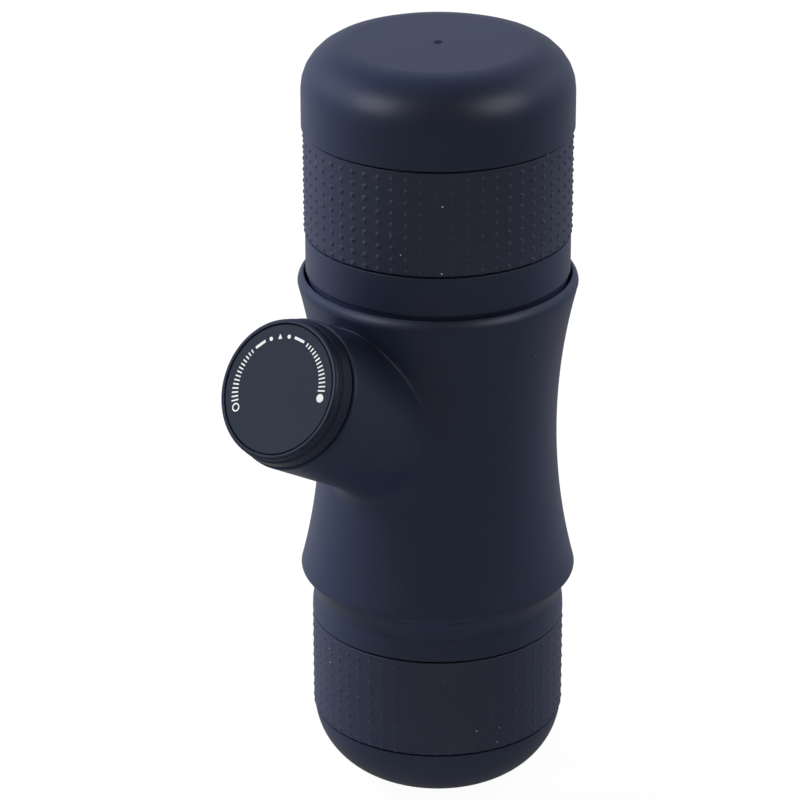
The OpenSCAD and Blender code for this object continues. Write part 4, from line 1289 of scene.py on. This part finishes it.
# %% Geometry Nodes tree: ticks along an arc
def build_ticks():
    tree, given, made = geometry_tree("ticks along an arc", {
        "Count": ("Int", 12), "Radius": ("Float", 0.01), "From": ("Float", 0.0),
        "To": ("Float", 90.0), "First length": ("Float", 1.0), "Last length": ("Float", 1.0)})
    line = add(tree, "GeometryNodeMeshLine", {"Count": given.outputs["Count"]})
    gaps = maths(tree, "SUBTRACT", given.outputs["Count"], 1.0)
    share = maths(tree, "DIVIDE", point_index(tree), maths(tree, "MAXIMUM", gaps, 1.0))
    degrees = add(tree, "ShaderNodeMapRange", {
        "Value": share, "To Min": given.outputs["From"],
        "To Max": given.outputs["To"]}).outputs[0]
    angle = maths(tree, "RADIANS", degrees)
    outward = add(tree, "ShaderNodeCombineXYZ", {
        "X": maths(tree, "SINE", angle), "Y": maths(tree, "COSINE", angle)}).outputs[0]
    spot = scaled(tree, outward, given.outputs["Radius"])
    turned = add(tree, "ShaderNodeCombineXYZ", {"Z": maths(tree, "MULTIPLY", angle, -1.0)})
    length = add(tree, "ShaderNodeMapRange", {
        "Value": share, "To Min": given.outputs["First length"],
        "To Max": given.outputs["Last length"]}).outputs[0]
    scale = add(tree, "ShaderNodeCombineXYZ", {"X": 1.0, "Y": length, "Z": 1.0})
    copies = add(tree, "GeometryNodeInstanceOnPoints", {
        "Points": placed_at(tree, line.outputs["Mesh"], spot),
        "Instance": given.outputs["Geometry"], "Rotation": turned.outputs[0],
        "Scale": scale.outputs[0]})
    return end_tree(tree, given, made, copies.outputs["Instances"], smooth=False)


TICKS = build_ticks()

# %% Marks of the print
PRINT_T = 0.03 * MM
PRINT_R = 11.35 * MM
PRINT_TURN = math.radians(20.5)
DISC_EDGE = 0.2 * MM
DISC_GAP = 0.22 * MM
PRINT_PLACE = PUMP_PLACE @ Matrix.Rotation(PRINT_TURN, 4, "Z")
DOT_TURN, DASH_TURN = 12.0, 26.5
TICK_FROM, TICK_TO, END_TURN = 39.0, 97.0, 105.0
TICK_COUNT = 14
POINTER = [(-0.5 * MM, -0.5 * MM), (0.5 * MM, -0.5 * MM), (0, 0.65 * MM)]
DOT_MARK_R = 0.45 * MM
DASH = (2.8 * MM, 0.6 * MM)
TICK = (0.32 * MM, 1.0 * MM)
FULL_DOT_R = 0.9 * MM
OPEN_RING_R = 0.95 * MM
OPEN_RING_LINE = 0.3 * MM


def flat_mark(corners):
    """A thin prism with this outline, standing on the disc's face."""
    count = len(corners)
    base = [(x, y, face_last - PRINT_T) for x, y in corners]
    lid = [(x, y, face_last + PRINT_T) for x, y in corners]
    sides = [(i, (i + 1) % count, (i + 1) % count + count, i + count) for i in range(count)]
    return base + lid, [tuple(reversed(range(count))), tuple(range(count, 2 * count)), *sides]


def print_marks(name, corners, start, end, **layout):
    """Copies of a mark on the print's circle, from one angle to another in degrees."""
    points, faces = flat_mark(corners)
    marks = grow(name, TICKS, points, faces, Material=PRINT, Radius=PRINT_R, From=start, To=end,
                 **layout)
    marks.data.transform(PRINT_PLACE)
    return marks


def bar(width, length):
    return [(-width / 2, -length / 2), (width / 2, -length / 2),
            (width / 2, length / 2), (-width / 2, length / 2)]


def round_mark(size, sides=20):
    return [(size * math.cos(math.tau * k / sides), size * math.sin(math.tau * k / sides))
            for k in range(sides)]


def ring_mark(name, size, line, degrees):
    """An open ring, as a small turned washer on the disc."""
    under, over = face_last - PRINT_T, face_last + PRINT_T
    washer = [(size - line, under, 0), (size, under, 0), (size, over, 0), (size - line, over, 0)]
    obj = lathe(name, washer, PRINT, steps=24)
    angle = math.radians(degrees)
    spot = Vector((math.sin(angle), math.cos(angle), 0)) * PRINT_R
    obj.data.transform(PRINT_PLACE @ Matrix.Translation(spot))
    return obj


disc_r = face_r - DISC_GAP
disc = lathe("face_disc", [
    (0, face_first, 0), (disc_r, face_first, 0), (disc_r, face_last, DISC_EDGE),
    (0, face_last, 0)], DISC, pump=True)
place(disc, "knob", "knob_disc", "knob_face")

marks = [print_marks("pointer", POINTER, 0.0, 0.0, Count=1)]
for side in (-1, 1):
    dot_at, dash_at = side * DOT_TURN, side * DASH_TURN
    marks += [
        print_marks("dot_mark", round_mark(DOT_MARK_R), dot_at, dot_at, Count=1),
        print_marks("dash_mark", bar(*DASH), dash_at, dash_at, Count=1),
        print_marks("tick_marks", bar(*TICK), side * TICK_FROM, side * TICK_TO,
                    Count=TICK_COUNT, First_length=0.9, Last_length=1.8)]
marks.append(ring_mark("open_ring", OPEN_RING_R, OPEN_RING_LINE, -END_TURN))
marks.append(print_marks("full_dot", round_mark(FULL_DOT_R, 28), END_TURN, END_TURN, Count=1))
place(join("knob_print", *marks), "knob", "print")

# %% [markdown]
# ## Outlet head and its nozzle
#
# Under the cup the brewed coffee leaves through the outlet head, a domed cap that screws onto
# the brew chamber. A press ring in it holds the basket on its gasket, and a steel nozzle stands in
# its middle.

# %% Outlet head
HEAD_WALL = 1.6 * MM
PRESS_WALL = 1.6 * MM
DOME_R = 7 * MM
DOME_RISE = 4.5 * MM
FUNNEL_INSET = 3 * MM
RING_GROOVE_R = 0.85 * MM
RING_GROOVE_IN = 0.3 * MM

head_r, skirt_z, dome_top_z = radius("outlet_head"), low("outlet_head"), top("outlet_head")
head_bore_r = head_r - HEAD_WALL
press_r, press_z, ceiling_z = radius("press_ring"), low("press_ring"), top("press_ring")
nozzle_low, nozzle_top = low("spout_nozzle"), top("spout_nozzle")
nozzle_r = radius("spout_nozzle")
gasket_top = top("outlet_gasket")
ring_z = (low("cup_retaining_ring") + top("cup_retaining_ring")) / 2
funnel_r = press_r - PRESS_WALL - FUNNEL_INSET


def head_corners():
    dome = arc(head_r - DOME_R, gasket_top + DOME_RISE, DOME_R, 0, 60, 10)
    groove = arc(head_r - RING_GROOVE_IN, ring_z, RING_GROOVE_R, -68, -292, 10)
    return [
        (press_r + FIT, ceiling_z, 0), (press_r + FIT, gasket_top, 0),
        (head_bore_r, gasket_top, 0), (head_bore_r, skirt_z, 0.2 * MM), (head_r, skirt_z, 0.4 * MM),
        *groove, *dome,
        (nozzle_r + 4 * MM, dome_top_z - 0.8 * MM, 0.6 * MM),
        (nozzle_r + 3 * MM, dome_top_z, 0.4 * MM), (nozzle_r, dome_top_z, 0.15 * MM),
        (nozzle_r, nozzle_low, 0), (0.8 * nozzle_r, nozzle_low, 0),
        (0.8 * nozzle_r, nozzle_low - 0.2 * MM, 0), (nozzle_r + 1 * MM, nozzle_low - 0.2 * MM, 0),
        (funnel_r - 3 * MM, nozzle_low - 2 * MM, 0.6 * MM), (funnel_r, ceiling_z, 0)]


head = lathe("outlet_cap", head_corners(), SHELL)
place(head, "outlet", "shell", "outlet_head")
ring = lathe("basket_press", [
    (press_r - PRESS_WALL, press_z, 0.3 * MM), (press_r, press_z, 0.3 * MM),
    (press_r, ceiling_z, 0), (press_r - PRESS_WALL, ceiling_z, 0)], PUMP)
place(ring, "outlet", "pump_plastic", "press_ring")

# %% Nozzle
NOZZLE_BORE_R = 2.2 * MM
NOZZLE_STEP = 0.5 * MM
NOZZLE_TIP_H = 1.6 * MM

nozzle = lathe("outlet_nozzle", [
    (NOZZLE_BORE_R, nozzle_low, 0), (nozzle_r, nozzle_low, 0),
    (nozzle_r, nozzle_top - NOZZLE_TIP_H, 0.2 * MM),
    (nozzle_r - NOZZLE_STEP, nozzle_top - NOZZLE_TIP_H + NOZZLE_STEP, 0.2 * MM),
    (nozzle_r - NOZZLE_STEP, nozzle_top, 0.7 * MM), (NOZZLE_BORE_R, nozzle_top, 0.5 * MM)],
    STEEL, steps=96)
place(nozzle, "outlet", "steel", "spout_nozzle")

# %% [markdown]
# ## Filter basket and screens
#
# The basket is drawn from thin steel sheet, with a flange that sits on the gasket. Its screen
# is perforated with fine holes in a staggered pattern. A tree spreads circles over a grid with
# every other row shifted, drops those too near the edge, fills the disc round them and
# gives the sheet its thickness.

# %% Geometry Nodes tree: perforated disc
def build_perforated():
    tree, given, made = geometry_tree("perforated disc", {
        "Radius": ("Float", 0.02), "Thickness": ("Float", 0.0006),
        "Hole radius": ("Float", 0.0003), "Pitch": ("Float", 0.0016),
        "Margin": ("Float", 0.003), "Rows": ("Int", 31), "Height": ("Float", 0.1)})
    pitch, rows = given.outputs["Pitch"], given.outputs["Rows"]
    grid = add(tree, "GeometryNodeMeshGrid", {"Vertices X": rows, "Vertices Y": rows})
    index = point_index(tree)
    row = whole(tree, "DIVIDE_FLOOR", index, rows)
    column = whole(tree, "FLOORED_MODULO", index, rows)
    middle = maths(tree, "DIVIDE", maths(tree, "SUBTRACT", rows, 1.0), 2.0)
    shift = maths(tree, "MULTIPLY", maths(tree, "FLOORED_MODULO", row, 2.0), 0.5)
    across = maths(tree, "SUBTRACT", maths(tree, "ADD", column, shift), middle)
    up = maths(tree, "MULTIPLY", maths(tree, "SUBTRACT", row, middle), math.sqrt(0.75))
    spot = add(tree, "ShaderNodeCombineXYZ", {
        "X": maths(tree, "MULTIPLY", across, pitch),
        "Y": maths(tree, "MULTIPLY", up, pitch)}).outputs[0]
    position = add(tree, "GeometryNodeInputPosition").outputs[0]
    distance = add(tree, "ShaderNodeVectorMath", {0: position},
                   operation="LENGTH").outputs["Value"]
    field = maths(tree, "SUBTRACT", given.outputs["Radius"], given.outputs["Margin"])
    kept = add(tree, "GeometryNodeDeleteGeometry", {
        "Geometry": placed_at(tree, grid.outputs["Mesh"], spot),
        "Selection": maths(tree, "GREATER_THAN", distance, field)}, domain="POINT")
    hole = add(tree, "GeometryNodeCurvePrimitiveCircle", {
        "Resolution": 12, "Radius": given.outputs["Hole radius"]})
    holes = add(tree, "GeometryNodeInstanceOnPoints", {
        "Points": kept.outputs["Geometry"], "Instance": hole.outputs["Curve"]})
    real = add(tree, "GeometryNodeRealizeInstances", {"Geometry": holes.outputs["Instances"]})
    outer = add(tree, "GeometryNodeCurvePrimitiveCircle", {
        "Resolution": 96, "Radius": given.outputs["Radius"]})
    curves = add(tree, "GeometryNodeJoinGeometry")
    tree.links.new(real.outputs["Geometry"], curves.inputs[0])
    tree.links.new(outer.outputs["Curve"], curves.inputs[0])
    sheet = add(tree, "GeometryNodeFillCurve", {"Curve": curves.outputs[0]})
    raised = add(tree, "GeometryNodeExtrudeMesh", {
        "Mesh": sheet.outputs["Mesh"], "Offset Scale": given.outputs["Thickness"],
        "Individual": False})
    back = add(tree, "GeometryNodeFlipFaces", {"Mesh": sheet.outputs["Mesh"]})
    both = add(tree, "GeometryNodeJoinGeometry")
    tree.links.new(raised.outputs["Mesh"], both.inputs[0])
    tree.links.new(back.outputs["Mesh"], both.inputs[0])
    height = add(tree, "ShaderNodeCombineXYZ", {"Z": given.outputs["Height"]}).outputs[0]
    lifted = add(tree, "GeometryNodeTransform", {
        "Geometry": merged(tree, both.outputs[0]), "Translation": height})
    return end_tree(tree, given, made, lifted.outputs["Geometry"], smooth=False)


PERFORATED = build_perforated()


def screen(name, node, body):
    """A perforated disc in the place of a screen's solid."""
    sheet = grow(name, PERFORATED, [(0, 0, 0)], Radius=radius(node), Height=low(node),
                 Thickness=top(node) - low(node), Material=STEEL)
    place(sheet, body, "steel", node)


screen("basket_sieve", "basket_screen", "basket")
screen("shower_sieve", "shower_screen", "main_body")

# %% Filter basket
BASKET_WALL = 0.8 * MM
BASKET_LIP = 1 * MM
BASKET_LEDGE = 2.4 * MM

flange_r = radius("filter_basket")
basket_low, basket_top = low("filter_basket"), top("filter_basket")
basket_r = flange_r - BASKET_LEDGE
basket_bore_r = basket_r - BASKET_WALL
lip_under_z = basket_top - (top("basket_screen") - low("basket_screen"))
basket = lathe("basket", [
    (basket_bore_r, basket_low, 0.3 * MM), (flange_r, basket_low, 0.3 * MM),
    (flange_r, basket_low + BASKET_WALL, 0.3 * MM),
    (basket_r, basket_low + BASKET_WALL, 0.4 * MM), (basket_r, basket_top, 0.5 * MM),
    (basket_bore_r - BASKET_LIP, basket_top, 0.2 * MM),
    (basket_bore_r - BASKET_LIP, lip_under_z, 0), (basket_bore_r, lip_under_z, 0)], STEEL)
place(basket, "basket", "steel", "filter_basket")

# %% [markdown]
# ## Brew chamber
#
# The chamber is a cup of pump plastic with a seat for the screen and gasket, a flange that rests on
# the well's floor, and a threaded neck for the outlet head.

# %% Brew chamber and its thread
CHAMBER_WALL = 2.3 * MM
CHAMBER_FLOOR = 2 * MM
CHAMBER_FREE = 0.3 * MM
FLANGE_T = 2 * MM
FLANGE_TOP_H = 9 * MM
DELIVERY_R = 2.6 * MM
CHAMBER_THREAD_RISE = 1.9 * MM
CHAMBER_THREAD_TURNS = 1.0

seat_r = radius("brew_chamber")
chamber_low, chamber_top = low("brew_chamber"), top("brew_chamber")
chamber_r = head_bore_r - CHAMBER_FREE
chamber_bore_r = chamber_r - CHAMBER_WALL
chamber_core_r = chamber_r - THREAD_DEPTH
flange_top_z = chamber_low + FLANGE_TOP_H
screen_low = low("shower_screen")
chamber = lathe("chamber_cup", [
    (DELIVERY_R, chamber_low, 0), (chamber_r, chamber_low, 0.4 * MM),
    (chamber_r, flange_top_z - FLANGE_T, 0), (seat_r, flange_top_z - FLANGE_T, 0.2 * MM),
    (seat_r, flange_top_z, 0.2 * MM), (chamber_core_r, flange_top_z, 0.2 * MM),
    (chamber_core_r, chamber_top, 0.3 * MM), (chamber_bore_r, chamber_top, 0.3 * MM),
    (chamber_bore_r, screen_low, 0), (chamber_bore_r - BASKET_LEDGE, screen_low, 0),
    (chamber_bore_r - BASKET_LEDGE, chamber_low + CHAMBER_FLOOR, 0),
    (DELIVERY_R, chamber_low + CHAMBER_FLOOR, 0)], PUMP)
chamber_thread = thread("chamber_thread", chamber_core_r, flange_top_z + CHAMBER_THREAD_RISE,
                        CHAMBER_THREAD_TURNS, PUMP)
place(join("chamber", chamber, chamber_thread), "main_body", "pump_plastic", "brew_chamber")

# %% [markdown]
# ## The other solids
#
# The valves, seals, springs, pump parts and tubes keep their solids, because their shapes are
# right as they are. Each gets the finish of its slot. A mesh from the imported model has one
# material slot, and only that slot is set.

# %% Finishes of the solids that stay
slots = {part["node"]: part["material_slot"] for part in frame["record"]["subparts"]}
for name, node in frame["nodes"].items():
    node.data.materials.clear()
    node.data.materials.append(FINISH[slots[name]])
    node.data.set_sharp_from_angle(angle=SHARP)
print("finished", sum(not n.hide_render for n in frame["nodes"].values()), "solids as they are")

# %% [markdown]
# ## Floor, world and lamps
#
# A pale floor carries the object's shadow, and the camera sees a plain white room. Mirror-like
# surfaces see a room too, but not an even one. It is bright behind the object, brighter on its
# left than on its right, and dim on the camera's side. That is what draws the soft light stripes
# down both sides of the dark plastic and leaves its front deep. The floor and the world share
# this room as one node group. The world gives it the direction of the ray, and the floor the way
# from the object to the point that is hit. The camera sees through the floor into the white room,
# with the object's shadow added on it, so the tank still shows when it is drawn down below it.
#
# Four soft lamps stand round the object. The two behind it light it and aren't mirrored. The two in
# front are only mirrored, as the short light stripes on the cup's top.

# %% Group: the room that reflections see
FRONT_LEVEL = 0.05
BACK_LEVEL = 0.4
LEFT_GAIN = 1.2
RIGHT_GAIN = 0.8
FRONT_TO_BACK = (-0.35, 0.85)
RIGHT_TO_LEFT = (-0.8, 0.8)


def build_mirror_room():
    tree = bpy.data.node_groups.new("room in reflections", "ShaderNodeTree")
    given, made = group_sockets(tree, {"Direction": ("Vector", None)}, {"Level": "Float"})
    along = add(tree, "ShaderNodeVectorMath", {0: given.outputs["Direction"]},
                operation="NORMALIZE").outputs[0]
    behind, leftward = (
        add(tree, "ShaderNodeVectorMath", {0: along, 1: tuple(-way)},
            operation="DOT_PRODUCT").outputs["Value"] for way in (toward, right))
    depth = add(tree, "ShaderNodeMapRange", {
        "Value": behind, "From Min": FRONT_TO_BACK[0], "From Max": FRONT_TO_BACK[1],
        "To Min": FRONT_LEVEL, "To Max": BACK_LEVEL}, interpolation_type="SMOOTHSTEP").outputs[0]
    gain = add(tree, "ShaderNodeMapRange", {
        "Value": leftward, "From Min": RIGHT_TO_LEFT[0], "From Max": RIGHT_TO_LEFT[1],
        "To Min": RIGHT_GAIN, "To Max": LEFT_GAIN}).outputs[0]
    tree.links.new(maths(tree, "MULTIPLY", depth, gain), made.inputs["Level"])
    return tree


MIRROR_ROOM = build_mirror_room()

# %% Floor
FLOOR_HALF = 3.0
FLOOR_COLOUR = 0.6
FLOOR_SEEN = 0.04
FLOOR_CLEAR = 0.96


def seen_by_camera(tree, path):
    """1 for rays that show a background: straight from the camera, or through clear plastic."""
    return maths(tree, "MAXIMUM", path["Is Camera Ray"], path["Is Transmission Ray"])


def stage_floor():
    floor = new_object("floor", [
        (x * FLOOR_HALF, y * FLOOR_HALF, 0) for x, y in ((-1, -1), (1, -1), (1, 1), (-1, 1))],
        faces=[(0, 1, 2, 3)])
    material, tree, shader = new_material("pale floor")
    shader.inputs["Roughness"].default_value = 0.9
    shader.inputs["Specular IOR Level"].default_value = 0.0
    path = add(tree, "ShaderNodeLightPath").outputs
    seen = seen_by_camera(tree, path)
    colour = add(tree, "ShaderNodeMapRange", {
        "Value": seen, "To Min": FLOOR_COLOUR, "To Max": FLOOR_SEEN}).outputs[0]
    tree.links.new(colour, shader.inputs["Base Color"])
    passed = maths(tree, "MAXIMUM", seen, path["Is Shadow Ray"])
    clear = add(tree, "ShaderNodeBsdfTransparent", {
        "Color": maths(tree, "MULTIPLY", passed, FLOOR_CLEAR)})
    both = add(tree, "ShaderNodeAddShader", {0: shader.outputs[0], 1: clear.outputs[0]})
    spot = add(tree, "ShaderNodeNewGeometry").outputs["Position"]
    outward = add(tree, "ShaderNodeVectorMath", {0: spot, 1: (0, 0, AIM_HEIGHT)},
                  operation="SUBTRACT").outputs[0]
    room = use_group(tree, MIRROR_ROOM, Direction=outward)
    mirrored = add(tree, "ShaderNodeEmission", {"Color": room.outputs["Level"]})
    mixed = add(tree, "ShaderNodeMixShader", {
        0: path["Is Glossy Ray"], 1: both.outputs[0], 2: mirrored.outputs[0]})
    output = next(n for n in tree.nodes if n.type == "OUTPUT_MATERIAL")
    tree.links.new(mixed.outputs[0], output.inputs["Surface"])
    floor.data.materials.append(material)


stage_floor()

# %% World and lamps
WORLD_LEVEL = 0.36
LAMP_DISTANCE = 0.9


def white_room():
    world = bpy.data.worlds.new("white room")
    world.use_nodes = True
    tree = world.node_tree
    background = next(n for n in tree.nodes if n.type == "BACKGROUND")
    path = add(tree, "ShaderNodeLightPath").outputs
    direction = add(tree, "ShaderNodeTexCoord").outputs["Generated"]
    room = use_group(tree, MIRROR_ROOM, Direction=direction)
    mirrored = path["Is Glossy Ray"]
    glossy = maths(tree, "MULTIPLY", mirrored, room.outputs["Level"])
    soft = maths(tree, "MULTIPLY", maths(tree, "SUBTRACT", 1.0, mirrored), WORLD_LEVEL)
    level = maths(tree, "MAXIMUM", seen_by_camera(tree, path), maths(tree, "ADD", glossy, soft))
    background.inputs["Strength"].default_value = 1.0
    tree.links.new(level, background.inputs["Color"])
    bpy.context.scene.world = world


def lamp(name, turn_degrees, height_degrees, size, power, mirrored):
    """A soft square lamp, turned from the camera's side, that either lights or is mirrored."""
    turned = VIEW_AZIMUTH + math.radians(turn_degrees)
    raised = math.radians(height_degrees)
    away = Vector((math.sin(turned) * math.cos(raised), -math.cos(turned) * math.cos(raised),
                   math.sin(raised)))
    light = bpy.data.lights.new(name, "AREA")
    light.size = size
    light.energy = power
    obj = bpy.data.objects.new(name, light)
    obj.visible_glossy = mirrored
    obj.visible_diffuse = not mirrored
    obj.location = Vector((0, 0, AIM_HEIGHT)) + away * LAMP_DISTANCE
    obj.rotation_mode = "QUATERNION"
    obj.rotation_quaternion = (-away).to_track_quat("-Z", "Y")
    bpy.context.scene.collection.objects.link(obj)


white_room()
lamp("left lamp", turn_degrees=-114, height_degrees=28, size=0.5, power=15, mirrored=False)
lamp("right lamp", turn_degrees=126, height_degrees=28, size=0.5, power=9, mirrored=False)
lamp("left front lamp", turn_degrees=-61, height_degrees=36, size=0.45, power=3.5, mirrored=True)
lamp("right front lamp", turn_degrees=61, height_degrees=36, size=0.45, power=3, mirrored=True)
